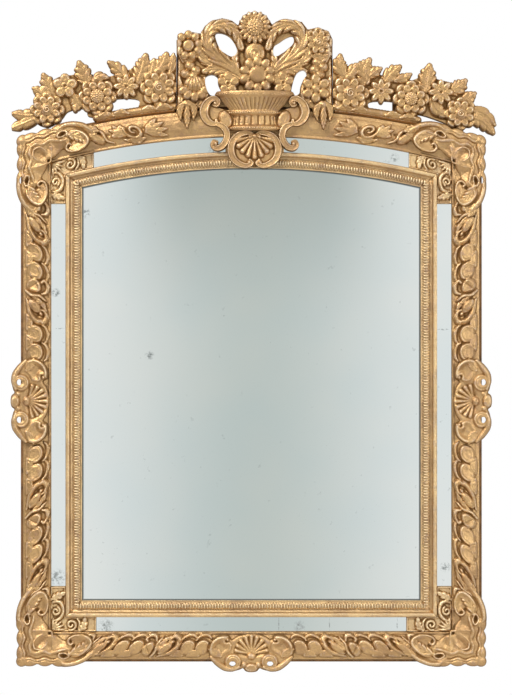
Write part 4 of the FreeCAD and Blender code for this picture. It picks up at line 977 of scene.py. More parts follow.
def corner_carving(pierced):
    board = Carving((-26, 192), (-26, 192), ornament_step, ornament_step, solid=False)
    board.lay_ground(ornament_ground)
    whole = list(corner_outline) + [(b, a) for a, b in reversed(corner_outline[1:])]
    board.dish(smooth(whole, 160, closed=True), 7.0, 7.0, 0.0)
    for flip in (False, True):
        at = on_arm(flip)
        turn = 90 if flip else 0
        for along, across in ((17, 0), (53, 0), (88, -1)):
            board.oval(at(along, across), 21, 15, turn, 10.0)
        board.score(through(at, [(2, 6), (17, 9), (35, 3), (53, 9), (72, 3), (86, 7)], 40), 1.6, 3.4)
        board.score(through(at, [(4, -2), (18, 1), (34, -4), (54, 1), (70, -4), (88, 0)], 40), 1.4, 2.6)
        rib = through(at, [(20, 20), (34, 17), (50, 22), (66, 17), (82, 21), (97, 26), (112, 27)], 40)
        board.stroke(rib, (6.0, 6.6, 6.4, 6.6, 6.2, 5.4, 3.0), (10.5, 11.0, 10.5, 11.5, 11.0, 11.0, 9.0))
        board.stroke(through(at, [(71, 22), (72, 45), (70, 68)]), (4.0, 3.6, 3.0), (8.5, 8.2, 7.6))
        eye = through(at, [(83, 10), (88, 19), (102, 19), (115, 13), (109, 4), (95, 1)], 36, closed=True)
        board.dish(eye, 13.5, 4.5, 0.95, 5.0)
        back = through(at, [(82, 3), (100, -8), (121, -7), (147, 3), (166, 17), (180, 28)], 40)
        board.stroke(back, (4.0, 6.5, 7.0, 7.0, 6.5, 3.0), (9.0, 12.5, 13.5, 13.5, 12.0, 9.0))
        field = [(109, 50), (117, 58), (130, 63), (146, 64), (161, 58), (169, 45), (161, 28), (144, 13),
                 (124, 5), (110, 12), (103, 24), (104, 38)]
        lean = (0.0, 0.5) if flip else (0.5, 0.0)
        board.dish(through(at, field, 60, closed=True), 12.5, 4.6, 0.45, 17.0, tip=lean)
        curl = through(at, [(146, 62), (126, 60), (113, 54), (109, 45), (115, 38), (121, 42)], 40)
        board.stroke(curl, (2.5, 3.6, 4.0, 4.0, 3.8, 3.0), (15.0, 14.5, 14.5, 15.0, 15.0, 14.0))
        acanthus = through(at, [(111, 15), (128, 22), (146, 34), (157, 50)])
        board.leaf(acanthus, (5.0, 12.0, 13.0, 10.0, 3.0), 15.0, 4, lean=1.3, notch=0.4)
        board.leaf(through(at, [(157, 13), (173, 20), (189, 29)]), (6.0, 11.0, 10.0, 3.0), 11.0, 3)
        board.leaf(through(at, [(160, 38), (171, 35), (184, 34)]), (3.0, 7.0, 6.0, 2.0), 9.0, 2)
    board.oval((-1, -1), 16, 14, 45, 10.5)
    panel = smooth([(61, 61), (42, 55), (29, 41), (29, 29), (41, 29), (55, 42)], 40, closed=True)
    board.sink(panel, 6.5, 8.0)
    for flip in (False, True):
        at = on_arm(flip)
        slit = through(at, [(67, 55), (57, 36), (58, 28), (66, 27), (69, 42)], 40, closed=True)
        board.sink(slit, 5.0, 7.0)
        hollow = [(75, 66), (92, 68), (107, 58), (110, 44), (104, 33), (88, 27), (75, 28)]
        board.sink(through(at, hollow, 40, closed=True), 7.0, 11.0)
        board.pit(at(115, 46), 2.6, 6.0)
        board.pit(at(122, 35), 4.0, 5.0)
        board.pit(at(99, 10), 7.0, 9.0)
    rim = smooth([(66, 54), (57, 38), (44, 27), (32, 27), (27, 32), (27, 44), (38, 57), (54, 66)], 60)
    board.stroke(rim, (1.4, 2.4, 3.0, 3.2, 3.2, 3.0, 2.4, 1.4), (6.0, 8.0, 10.0, 10.5, 10.5, 10.0, 8.0, 6.0))
    if pierced:
        board.blank(-3.6, 92.0, 4.6, 9.0)
    return board


rail_leans = {"bottom": 0.0, "top": math.asin(outer_half / outer_radius)}
for level, lean in rail_leans.items():
    board = corner_carving(pierced=level == "top")
    corner_z = outer_foot if level == "bottom" else float(arch_at(outer_radius, outer_half))
    up = 1.0 if level == "bottom" else -1.0
    for name, side in (("right", 1), ("left", -1)):
        def corner_place(u, v, depth):
            x = outer_half - u * math.cos(lean)
            return side * x, -depth, corner_z + u * math.sin(lean) + up * v

        shells = [board.shell(ornament_back, corner_place)]
        gilt_piece(f"gilt_{level}_{name}_cartouche", shells, ornament_gold, [f"{level}_{name}_cartouche"])


# Side and bottom cartouches.
# Three applied ornaments at the middle of the stiles and of the bottom rail, each a ribbed fan between two
# pierced volutes that stand past the frame's edge, with a rounded lip and rimmed leaf ends.

# Half of the outline, as distances along the frame's edge and in from it
edge_outline = ((0, -29), (13, -27), (20, -20), (28, -23), (45, -26), (62, -20), (80, -7), (95, 6),
                (104, 22), (98, 42), (84, 57), (67, 62), (53, 59), (46, 50), (32, 58), (0, 64))


def edge_carving():
    board = Carving((-106, 106), (-33, 70), ornament_step, ornament_step, solid=False)
    board.lay_ground(ornament_ground)
    whole = list(edge_outline) + [(-a, b) for a, b in reversed(edge_outline[1:-1])]
    board.dish(smooth(whole, 140, closed=True), 8.0, 7.0, 0.0)
    for side in (-1, 1):
        def at(along, across):
            return side * along, across

        leaf_end = [(60, 46), (53, 56), (64, 61), (82, 57), (96, 45), (102, 28), (98, 12), (86, 4), (72, 4),
                    (60, 13), (48, 21), (44, 34), (50, 46)]
        board.dish(through(at, leaf_end, 60, closed=True), 13.5, 6.0, 0.5, 14.0, tip=(0.15 * side, 0.4))
        back = through(at, [(97, 8), (82, -5), (64, -17), (46, -20), (30, -15)], 36)
        board.stroke(back, (5.0, 8.0, 8.5, 7.5, 5.0), (10.0, 13.0, 14.5, 15.5, 14.0))
        board.oval(at(44, -3), 21, 20, 0, 15.0, cup=0.8)
        board.score(spiral(at(44, -4), 15.0, 12.5, 90 + side * 150, -side * 300), 1.3, 2.4)
        board.leaf(through(at, [(74, 10), (86, 20), (101, 27)]), (5.0, 11.0, 10.0, 3.0), 12.5, 4)
        board.oval(at(57, 50), 5.2, 5.2, 0, 15.0)
        board.oval(at(17, -10), 9, 8, side * 40, 12.0)
    fan = [(46 * math.sin(t), 13 + 48 * math.cos(t)) for t in np.radians(np.linspace(-84, 84, 15))]
    board.sink(np.array([(-14, 8)] + fan + [(14, 8)]), 7.0, 6.0)
    ribs = 4
    for k in range(-ribs, ribs + 1):
        turn = math.radians(90 + k * 19)
        tip = 44 - 1.6 * abs(k)
        line = [(r * math.cos(turn), 14 + r * math.sin(turn)) for r in (6, 0.5 * tip, tip)]
        board.stroke(smooth(line), (1.6, 3.8, 6.4), (7.0, 7.0, 9.5))
    board.oval((0, 10), 13, 11, 0, 14.0)
    board.oval((0, -17), 16, 11, 0, 14.0, cup=0.3)
    for side in (-1, 1):
        board.blank(side * 45.0, -8.0, 7.6, 6.4)
    return board


edge_board = edge_carving()


def edge_place(name):
    """Turns the drawing onto the right or left stile or the bottom rail."""
    def place(u, v, depth):
        if name == "bottom":
            return u, -depth, outer_foot + v
        side = 1 if name == "right" else -1
        return side * (outer_half - v), -depth, u
    return place


for name in ("right", "left", "bottom"):
    shells = [edge_board.shell(ornament_back, edge_place(name))]
    gilt_piece(f"gilt_{name}_cartouche", shells, ornament_gold, [f"{name}_cartouche"])


# Shell.
# A scallop hanging from its hinge between two C-scrolls that curl in above and below it,
# carved in the solid with a block behind that closes the border between the two top plates.

crest_middle = sum(span("basket")[0]) / 2
(shell_left, shell_right), (shell_foot, shell_head), (shell_back, _) = span("shell")


def shell_parts():
    block = Carving((shell_left, shell_right), (590, 640), 1.5, 1.5, solid=False)
    block.lay_ground(ornament_back)
    border = arch_wood(block, inner_radius + panel_gap, border_radius - panel_gap, shell_left)
    block.wood = np.minimum(border, shell_right - block.u)
    sides, levels = (shell_left - 2, shell_right + 2), (shell_foot - 2, shell_head + 3)
    board = Carving(sides, levels, 1.0, 1.0, solid=False)
    board.lay_ground(ornament_ground)
    middle, height = crest_middle, (shell_foot + shell_head) / 2
    board.oval((middle, height), 58, 40, 0, 2.0, cup=0.1)
    ribs = 4
    for k in range(-ribs, ribs + 1):
        turn = math.radians(-90 + k * 19)
        tip = 50 - 1.6 * abs(k)
        c, s = math.cos(turn), math.sin(turn)
        line = [(middle + r * c, shell_head - 11 + r * s) for r in (5, 0.55 * tip, tip)]
        board.stroke(smooth(line), (1.8, 4.4, 7.6), (7.0, 9.0, 12.5))
    for side in (-1, 1):
        def at(x, z):
            return middle + side * x, height + z

        c_scroll = [(12, 25), (5, 29), (6, 37), (18, 41), (37, 36), (52, 21), (57, 0), (51, -21), (36, -34),
                    (18, -38), (6, -32), (11, -24)]
        widths = (2.6, 3.6, 4.4, 6.0, 8.0, 9.0, 9.2, 9.0, 8.0, 6.0, 4.4, 2.8)
        rises = (11.0, 12.0, 13.0, 14.0, 15.0, 15.0, 15.0, 15.0, 15.0, 14.0, 12.0, 11.0)
        board.stroke(through(at, c_scroll, 60), widths, rises, hollow=True)
        board.oval(at(12, 31), 5.0, 5.0, 0, 14.0)
        board.oval(at(13, -30), 5.5, 5.5, 0, 13.0)
    board.oval((middle, shell_head - 12), 8, 7, 0, 13.0)
    flat = mirrored_place(1)
    return [block.shell(shell_back + glass_room, flat), board.shell(ornament_back, flat)]


gilt_piece("gilt_shell", shell_parts(), ornament_gold, ["shell"])


# Basket.
# A half-round wicker basket carved from one block and glued against the crest: a rim, a ribbed flaring bowl,
# a beaded girdle, a fluted stem and a beaded foot. The girdles are rows of small turned beads.

(basket_left, basket_right), (basket_foot, basket_head), (basket_back, basket_front) = span("basket")
basket_half = (basket_right - basket_left) / 2
basket_height = basket_head - basket_foot
basket_bulge = basket_front - basket_back - 1.5

# Outline of the basket as shares of its height, half width and bulge, then its flutes' depth in millimetres
basket_levels = ((0.0, 0.60, 0.66, 0.0), (0.03, 0.64, 0.72, 0.0), (0.1, 0.64, 0.72, 0.0),
                 (0.13, 0.58, 0.63, 0.0), (0.15, 0.55, 0.58, 3.4), (0.36, 0.53, 0.56, 3.4),
                 (0.39, 0.57, 0.6, 0.0), (0.42, 0.63, 0.68, 0.0), (0.49, 0.64, 0.69, 0.0),
                 (0.52, 0.62, 0.66, 2.0), (0.66, 0.76, 0.79, 2.6), (0.82, 0.90, 0.91, 2.2),
                 (0.85, 0.94, 0.94, 0.0), (0.88, 0.99, 0.99, 0.0), (0.96, 1.0, 1.0, 0.0),
                 (1.0, 0.965, 0.96, 0.0), (0.985, 0.88, 0.86, 0.0), (0.93, 0.5, 0.5, 0.0),
                 (0.92, 0.02, 0.02, 0.0))
bowl_ribs, stem_flutes, girdle_share = 22, 9, 0.45


def basket_part():
    levels = np.array(basket_levels)
    places = np.linspace(0, len(levels) - 1, 6 * len(levels))
    rows = np.stack([np.interp(places, np.arange(len(levels)), levels[:, k]) for k in range(4)], -1)
    turns = np.linspace(-math.pi / 2, math.pi / 2, 16 * bowl_ribs + 1)
    bowl, stem = np.abs(np.sin(turns * bowl_ribs)), np.abs(np.cos(turns * stem_flutes))
    ribs = np.where(rows[:, :1] > girdle_share, bowl, stem)
    cut = rows[:, 3:4] * (ribs ** 0.7 - 1.0)
    x = crest_middle + (basket_half * rows[:, 1:2] + cut) * np.sin(turns)
    depth = basket_back + (basket_bulge * rows[:, 2:3] + cut) * np.cos(turns)
    z = np.repeat(basket_foot + basket_height * rows[:, :1], len(turns), 1)
    points = np.stack([x, -depth, z], -1).reshape(-1, 3) * mm
    index = np.arange(len(points)).reshape(z.shape)
    quads = np.stack([index[:-1, :-1], index[:-1, 1:], index[1:, 1:], index[1:, :-1]], -1).reshape(-1, 4)
    last = z.shape[1] - 1
    back = np.stack([index[:-1, last], index[:-1, 0], index[1:, 0], index[1:, last]], -1)
    low, high, pairs = index[0], index[-1], range(last // 2)
    foot = [(low[k], low[last - k], low[last - k - 1], low[k + 1]) for k in pairs]
    head = [(high[k + 1], high[last - k - 1], high[last - k], high[k]) for k in pairs]
    # Painted shade: the flute grooves get low relief and the inside of the basket's mouth the lowest, so the
    # gilding darkens them.
    shown = np.where(rows[:, 3:4] > 0, 0.62 + 0.17 * cut, 0.42)
    shown = np.where(np.arange(len(rows))[:, None] > 5.2 * len(levels), 0.15, shown)
    return points, np.concatenate([quads, back, foot, head]), np.broadcast_to(shown, z.shape).ravel()


gilt_piece("gilt_basket", [basket_part()], ornament_gold, ["basket"])


def girdle(height_share, width_share, bulge_share, bead):
    """A row round the front of the basket for beads to stand on."""
    count = 60
    turns = np.linspace(-1.5, 1.5, count)
    x = crest_middle + basket_half * width_share * np.sin(turns)
    depth = basket_back + basket_bulge * bulge_share * np.cos(turns) - 0.3 * bead
    return np.stack([x, -depth, np.full(count, basket_foot + basket_height * height_share)], -1) * mm


close_carving("basket_beads", [girdle(0.065, 0.64, 0.72, 3.0), girdle(0.455, 0.64, 0.69, 3.0)], 5.6 * mm,
              (2.7 * mm, 2.7 * mm, 2.7 * mm), (0.1, 0.8), ornament_gold, seed=8)
close_carving("basket_rim_beads", [girdle(0.92, 1.0, 1.0, 3.0)], 6.4 * mm, (3.0 * mm, 2.4 * mm, 2.0 * mm),
              (0.1, 0.7), ornament_gold, seed=9)


# Scrolls beside the basket.
# A C-shaped handle on each side runs down into a volute that laps over the top border plate.
# Each is carved in one piece with the oval leaf behind it and glued to the rail.

def scroll_board():
    """Drawn to the right of the basket's middle line and about the foot of the basket."""
    board = Carving((40, 146), (-54, 88), 1.1, 1.1, solid=False)
    board.lay_ground(ornament_ground - 2)
    web = [(50, 2), (54, 40), (76, 52), (112, 60), (118, 36), (100, 16), (76, 8)]
    board.plate(smooth(web, 60, closed=True), ornament_ground - 1)
    board.oval((70, 27), 15, 22, -20, 9.0, cup=0.4)
    handle = [(99, 62), (91, 60), (86, 67), (91, 76), (104, 75), (117, 62), (122, 44), (116, 27), (103, 17),
              (92, 18), (92, 26)]
    board.stroke(smooth(handle, 60), (2.8, 3.6, 4.6, 6.0, 8.5, 11.0, 11.5, 10.0, 7.5, 5.0, 3.0),
                 (10.0, 12.0, 13.0, 14.0, 15.0, 15.0, 15.0, 14.0, 13.0, 12.0, 11.0), hollow=True)
    volute = [(96, 17), (84, 14), (72, 6), (66, -9), (69, -25), (79, -38), (92, -42), (101, -35), (98, -25),
              (90, -26)]
    board.stroke(smooth(volute, 56), (5.0, 7.0, 8.6, 9.0, 8.6, 8.0, 7.0, 5.6, 4.4, 3.0),
                 (10.0, 13.0, 14.0, 14.0, 14.0, 13.0, 12.0, 11.0, 11.0, 11.0), hollow=True)
    board.oval((95, 66), 5.5, 5.5, 0, 14.0)
    board.oval((93, -31), 5.5, 5.5, 0, 13.0)
    return board


handles = scroll_board()
for name, side in (("right", 1), ("left", -1)):
    def scroll_place(u, v, depth):
        return crest_middle + side * u, -depth, basket_foot + v

    gilt_piece("gilt_basket_scroll_" + name, [handles.shell(ornament_back, scroll_place)], ornament_gold,
               ["basket_scroll_" + name])


# Centre of the cresting.
# One pierced pine board, screwed to two battens: a sheaf of flowers above the basket between two acanthus
# loops, with a column of blossoms, a larger flower and a hanging husk at each side.

crest_gold = gilt("cresting gilding", 0.55, 0.0005)
crest_step = 1.2
(centre_left, centre_right), (_, centre_head), (crest_back, _) = span("crest_centre")


def petals(board, place, radius, count, middle, length, breadth, base, rise, cup=0.0, turn=90.0, tip=0.0):
    """A ring of petals; where they stand and how long and broad they are is given as shares of the radius."""
    for k in range(count):
        angle = turn + 360.0 * k / count
        c, s = math.cos(math.radians(angle)), math.sin(math.radians(angle))
        spot = (place[0] + radius * middle * c, place[1] + radius * middle * s)
        board.oval(spot, radius * length, radius * breadth, angle, rise, base, cup, tip)


def seeds(board, place, radius, base, rise):
    """A domed seed head, stippled in rings."""
    board.oval(place, radius, radius, 0, rise, base, cup=0.1)
    for ring, count in ((0.0, 1), (0.3, 6), (0.56, 11), (0.8, 16)):
        for k in range(count):
            angle = 2 * math.pi * k / count + ring
            spot = (place[0] + radius * ring * math.cos(angle), place[1] + radius * ring * math.sin(angle))
            level = base + 1.2 * rise * (1 - ring ** 2) ** 0.3 - 1.0
            board.oval(spot, radius * 0.145, radius * 0.145, 0, 3.0, level)


def coil(board, place, radius, base, rise):
    """A furled heart: a curl of petal edge round a bud."""
    board.oval(place, radius, radius, 0, rise * 0.6, base)
    board.stroke(spiral(place, radius * 0.82, radius * 0.2, 70, 520), (radius * 0.17, radius * 0.14),
                 (rise * 0.5, rise * 0.6), base + rise * 0.4)


def double_rose(board, place, radius, base, count=8):
    """Dished outer petals, a second tier between them and a furled heart in a ring."""
    petals(board, place, radius, count, 0.7, 0.3, 0.31, base + 1, 8.0, cup=0.7, tip=0.15)
    petals(board, place, radius, count, 0.54, 0.26, 0.225, base + 6, 8.0, cup=0.5, turn=90 + 180 / count,
           tip=0.1)
    board.oval(place, radius * 0.37, radius * 0.37, 0, 7.0, base + 9, cup=0.8)
    coil(board, place, radius * 0.25, base + 11, 9.0)


def seed_flower(board, place, radius, base, count=8):
    """A stippled seed head in a ring of cupped petals, over broad dished ones."""
    petals(board, place, radius, count, 0.72, 0.28, 0.31, base + 1, 8.0, cup=0.7, tip=0.2)
    petals(board, place, radius, count, 0.56, 0.24, 0.235, base + 6, 8.0, cup=0.6, turn=90 + 180 / count)
    seeds(board, place, radius * 0.38, base + 9, 8.0)


def daisy(board, place, radius, base, count=8):
    """One tier of flat petals about a small deep eye."""
    board.oval(place, radius * 0.6, radius * 0.6, 0, 3.0, base)
    petals(board, place, radius, count, 0.56, 0.44, 2.0 / count, base + 3, 10.0, cup=0.4)
    board.oval(place, radius * 0.26, radius * 0.26, 0, 7.0, base + 8, cup=1.8)


def ball_flower(board, place, radius, base, count=8, eye=0.4):
    """A round eye ringed with plump petals."""
    board.oval(place, radius * 0.8, radius * 0.8, 0, 4.0, base, cup=0.1)
    petals(board, place, radius, count, 0.7, 0.3, 2.5 / count, base + 3, 10.0, cup=0.12)
    board.oval(place, radius * eye, radius * eye, 0, 7.0, base + 8, cup=0.4)


def five_petals(board, place, radius, base):
    daisy(board, place, radius, base, count=5)


# Outline of the centre board and its four piercings
centre_outline = ((-180, 690), (-180, 845), (-172, 876), (-150, 889), (-122, 884), (-112, 902), (-92, 916),
                  (-70, 921), (-46, 915), (-32, 904), (-20, 928), (8, 938), (36, 928), (50, 906), (62, 914),
                  (92, 918), (122, 912), (136, 894), (160, 899), (186, 890), (197, 868), (196, 845),
                  (196, 690))
centre_piercings = (
    ((-87, 880), (-73, 885), (-54, 877), (-40, 860), (-34, 841), (-42, 828), (-59, 833), (-75, 845)),
    ((54, 852), (68, 863), (85, 874), (100, 877), (102, 863), (92, 849), (74, 836), (55, 828)),
    ((-111, 777), (-95, 785), (-81, 777), (-80, 761), (-73, 744), (-78, 735), (-97, 735), (-107, 748)),
    ((107, 785), (125, 796), (133, 785), (125, 771), (118, 755), (115, 739), (103, 735), (96, 745)))


def above_arch(board):
    """Cuts a board to stand on the arched top of the carcass."""
    gap = 0.6
    board.wood = np.minimum(board.wood, np.hypot(board.u, board.v - arch_centre) - carcass_radius - gap)


def crest_centre_board():
    sides, levels = (centre_left + 0.3, centre_right - 0.3), (648, centre_head + 2)
    board = Carving(sides, levels, crest_step, crest_step, solid=False)
    low = crest_back + 20
    board.lay_ground(crest_back + 10)
    board.plate(np.array(centre_outline, float), low)
    small_leaves = (([(104, 806), (124, 826), (130, 852)], (6.0, 14.0, 13.0, 4.0), 15.0),
                    ([(36, 784), (48, 812), (42, 842)], (5.0, 11.0, 10.0, 3.0), 18.0),
                    ([(150, 700), (128, 716), (122, 742)], (8.0, 16.0, 12.0, 4.0), 13.0),
                    ([(180, 834), (160, 822), (136, 830)], (6.0, 14.0, 12.0, 4.0), 12.0),
                    ([(184, 706), (178, 736), (182, 778)], (5.0, 12.0, 12.0, 4.0), 12.0))
    for side in (-1, 1):
        def at(x, z):
            return crest_middle + side * x, z

        branch = through(at, [(26, 768), (60, 790), (92, 798), (122, 792)])
        board.leaf(branch, (8.0, 18.0, 21.0, 17.0, 6.0), 15.0, 4, base=low, lean=2.4)
        loop = [(30, 774), (62, 806), (96, 832), (114, 858), (110, 886), (88, 902), (60, 898), (42, 880),
                (32, 848)]
        loop_widths = (9.0, 20.0, 25.0, 20.0, 17.0, 17.0, 17.0, 13.0, 8.0)
        board.leaf(through(at, loop, 60), loop_widths, 18.0, 8, base=low, lean=2.4, notch=0.38)
        for line, widths, rise in small_leaves:
            board.leaf(through(at, line), widths, rise, 3, base=low)
        stalk = through(at, [(122, 706), (114, 740), (120, 776)])
        board.stroke(stalk, (5.0, 7.0, 5.0), (14.0, 16.0, 14.0), low)
    base = crest_back + 22
    seed_top = (crest_middle + 0.4, 897.5)
    board.oval(seed_top, 34, 34, 0, 6.0, base, cup=0.1)
    petals(board, seed_top, 39.0, 16, 0.74, 0.3, 0.17, base + 4, 11.0, cup=0.2)
    seeds(board, seed_top, 23.0, base + 8, 11.0)
    bud = (crest_middle + 0.4, 836)
    board.oval(bud, 25, 26, 0, 13.0, base, cup=0.7)
    board.oval((bud[0], bud[1] - 2), 15, 17, 0, 9.0, base + 8, cup=1.3)
    board.oval((bud[0], bud[1] - 4), 5, 10, 0, 6.0, base + 10)
    ball_flower(board, (crest_middle + 7, 783), 46.0, base + 4, count=10, eye=0.47)
    for place in ((-56, 762), (76, 764)):
        board.oval(place, 20, 20, 0, 5.0, base, cup=0.1)
        petals(board, place, 29.0, 5, 0.56, 0.44, 0.4, base + 3, 10.0, cup=0.3)
        board.oval(place, 7.5, 7.5, 0, 6.0, base + 9, cup=1.9)
    ball_flower(board, (-151, 854), 37.0, base, count=9, eye=0.38)
    double_rose(board, (161, 862), 36.0, base)
    buds = ((-148, 806), (-134, 794), (-158, 786), (-140, 780), (158, 814), (172, 802), (152, 796),
            (164, 784))
    for place in buds:
        board.oval(place, 13, 12, 0, 13.0, base)
    bell = (-136, 752)
    for angle in (195, 232, 270, 308, 345):
        c, s = math.cos(math.radians(angle)), math.sin(math.radians(angle))
        board.oval((bell[0] + 27 * c, bell[1] + 22 * s), 14, 11, angle, 12.0, base + 3, cup=0.3)
    board.oval((bell[0], bell[1] + 10), 26, 20, 0, 13.0, base + 3)
    for lean in (-14, -5, 5, 14):
        line = [(bell[0] + share * lean, bell[1] + up) for share, up in ((0.5, 26), (1.0, 12), (1.3, -6))]
        board.score(smooth(line), 1.2, 2.6)
    petals(board, (155, 750), 38.0, 6, 0.6, 0.38, 0.32, base + 3, 12.0, cup=0.4)
    board.oval((155, 750), 11, 11, 0, 7.0, base + 10)
    for x in (centre_left + 1, centre_right - 1):
        board.score(np.array([(x, 640.0), (x, 880.0)]), 2.4, 12.0)
    for outline in centre_piercings:
        board.pierce(smooth(outline, 40, closed=True))
    above_arch(board)
    return board


def husk_board():
    """The hanging husks, which lie on the rail below the board."""
    board = Carving((-180, 196), (648, 728), crest_step, crest_step, solid=False)
    board.lay_ground(ornament_back + 2)
    for x, top in ((-154, 718), (173, 716)):
        for side in (-1, 1):
            line = [(x + side * 4, top), (x + side * 17, top - 18), (x + side * 15, top - 44)]
            board.leaf(smooth(line), (4.0, 10.0, 9.0, 2.0), 11.0, 4)
        board.leaf(smooth([(x, top - 10), (x, top - 38), (x, top - 64)]), (5.0, 10.0, 9.0, 2.0), 13.0, 4)
        board.oval((x, top - 6), 11, 10, 0, 13.0)
    return board


centre_shells = [crest_centre_board().shell(crest_back, mirrored_place(1)),
                 husk_board().shell(ornament_back, mirrored_place(1))]
gilt_piece("gilt_crest_centre", centre_shells, crest_gold, ["crest_centre"])


# Wings of the cresting.
# Two pierced boards beside the centre, each screwed to a batten: a garland of five flowers with leaves
# between them, on a strip that stands on the arched top of the frame.

def wing_board(u_range, ground, flowers, leaves, strip):
    """A garland on its ground: flowers as carver, place, radius and leaves as line, half width, fingers."""
    board = Carving(u_range, (636, 842), crest_step, crest_step, solid=False)
    low = crest_back + 18
    board.lay_ground(crest_back + 8)
    board.plate(smooth(ground, 120, closed=True), low)
    arch = np.linspace(strip[0], strip[1], 40)
    board.stroke(np.stack([arch, arch_at(carcass_radius + 8.0, arch)], -1), (10.0, 10.0), (11.0, 11.0), low)
    for x, way in ((strip[0] + 24, 1), (strip[0] + 60, -1), (strip[1] - 60, 1), (strip[1] - 24, -1)):
        foot = float(arch_at(carcass_radius, x))
        line = [(x - way * 17, foot + 8), (x, foot + 13), (x + way * 18, foot + 8)]
        board.leaf(smooth(line), (3.0, 7.0, 6.0, 2.0), 6.0, 3, base=low + 8)
    for line, width, fingers in leaves:
        widths = [width * share for share in (0.55, 1.0, 1.05, 0.9, 0.35)]
        board.leaf(smooth(line), widths, 10.0, fingers, base=low, lean=0.9, notch=0.32, swelling=0.17)
    for carver, place, radius in flowers:
        carver(board, place, radius, crest_back + 20)
    above_arch(board)
    return board


def lip(start, end):
    """A slip below a board, in front of the carcass, that closes the joint over the outer moulding."""
    lip_low, lip_high, lip_back, lip_ground = carcass_radius - 6.6, carcass_radius + 0.5, 24.4, 30.0
    board = Carving((start, end), (600, 720), crest_step, crest_step, solid=False)
    board.lay_ground(lip_ground)
    radius = np.hypot(board.u, board.v - arch_centre)
    board.wood = np.minimum(radius - lip_low, lip_high - radius)
    board.front = lip_ground + radius - lip_low
    return board.shell(lip_back, mirrored_place(1))


left_ground = ((-520, 672), (-516, 712), (-500, 750), (-468, 778), (-430, 785), (-400, 792), (-370, 775),
               (-338, 782), (-300, 795), (-262, 812), (-225, 806), (-183, 812), (-183, 690), (-268, 695),
               (-272, 724), (-334, 724), (-344, 700), (-362, 684), (-392, 684), (-400, 702), (-440, 696),
               (-458, 676), (-490, 658))
left_flowers = ((double_rose, (-221, 753), 48.0), (daisy, (-301, 756), 31.0),
                (seed_flower, (-370, 732), 47.0), (five_petals, (-448, 757), 31.0),
                (double_rose, (-491, 700), 43.0))
left_leaves = (([(-505, 690), (-540, 686), (-575, 691)], 17.0, 2),
               ([(-505, 686), (-545, 668), (-578, 655)], 16.0, 2),
               ([(-485, 720), (-508, 742), (-524, 752)], 16.0, 2),
               ([(-475, 735), (-490, 762), (-500, 784)], 19.0, 3),
               ([(-430, 735), (-420, 716), (-424, 698)], 17.0, 2),
               ([(-396, 765), (-406, 790), (-414, 813)], 21.0, 3),
               ([(-380, 770), (-366, 780), (-345, 778)], 13.0, 2),
               ([(-298, 775), (-318, 795), (-342, 814)], 18.0, 3),
               ([(-272, 770), (-262, 800), (-254, 830)], 22.0, 4),
               ([(-226, 790), (-212, 812), (-204, 834)], 20.0, 3),
               ([(-196, 785), (-190, 812), (-187, 834)], 12.0, 2),
               ([(-242, 782), (-238, 800), (-234, 820)], 16.0, 2))
right_ground = ((199, 690), (199, 808), (240, 802), (285, 800), (320, 782), (350, 786), (385, 772),
                (420, 786), (450, 774), (490, 762), (525, 728), (548, 692), (524, 660), (484, 652),
                (464, 668), (404, 688), (394, 674), (368, 676), (347, 694), (345, 718), (284, 718),
                (280, 692))
right_flowers = ((double_rose, (238, 740), 47.0), (daisy, (312, 744), 31.0),
                 (seed_flower, (384, 726), 45.0), (daisy, (456, 742), 31.0),
                 (double_rose, (504, 690), 41.0))
right_leaves = (([(522, 684), (556, 672), (582, 645)], 19.0, 3),
                ([(518, 700), (560, 692), (586, 664)], 14.0, 2),
                ([(500, 712), (524, 730), (538, 740)], 16.0, 2),
                ([(476, 745), (500, 756), (515, 770)], 19.0, 3),
                ([(418, 750), (424, 780), (429, 806)], 22.0, 3),
                ([(318, 762), (338, 788), (357, 804)], 19.0, 3),
                ([(276, 770), (272, 798), (284, 820)], 21.0, 4),
                ([(226, 778), (212, 806), (214, 830)], 19.0, 3),
                ([(346, 772), (366, 776), (384, 786)], 13.0, 2),
                ([(434, 722), (448, 700), (470, 684)], 17.0, 2),
                ([(236, 778), (246, 796), (260, 810)], 16.0, 2),
                ([(284, 780), (298, 792), (312, 800)], 14.0, 2))
wing_plans = (("left", left_ground, left_flowers, left_leaves, (-372, -184)),
              ("right", right_ground, right_flowers, right_leaves, (200, 400)))
for name, ground, flowers, leaves, strip in wing_plans:
    board = wing_board(span(f"crest_{name}_wing")[0], ground, flowers, leaves, strip)
    shells = [board.shell(crest_back, mirrored_place(1)), lip(*strip)]
    gilt_piece(f"gilt_crest_{name}_wing", shells, crest_gold, [f"crest_{name}_wing"])


# Battens, screws and pins.
# Four pine battens are let into the back of the top rail and carry the cresting, each held by wrought wood
# screws; cut pins through the carcass hold the outer moulding.

def forged_iron():
    """Black iron with a brown bloom of rust and a hammered face."""
    tree, given, result = effect(
        "forged iron",
        [("Place", "Vector", None), ("Iron", "Color", (0.09, 0.085, 0.08, 1)),
         ("Rust", "Color", (0.2, 0.09, 0.04, 1))],
        [("Colour", "Color"), ("Roughness", "Float"), ("Metal", "Float"), ("Height", "Float")])
    scale = cloud(tree, given["Place"], 180.0, detail=5.0)
    bloom = eased(tree, cloud(tree, given["Place"], 70.0, detail=4.0), 0.48, 0.68)
    tree.links.new(tinted(tree, bloom, given["Iron"], given["Rust"]), result["Colour"])
    tree.links.new(eased(tree, bloom, 0.0, 1.0, 0.42, 0.8), result["Roughness"])
    tree.links.new(eased(tree, bloom, 0.0, 1.0, 0.9, 0.2), result["Metal"])
    tree.links.new(scale, result["Height"])
    return tree


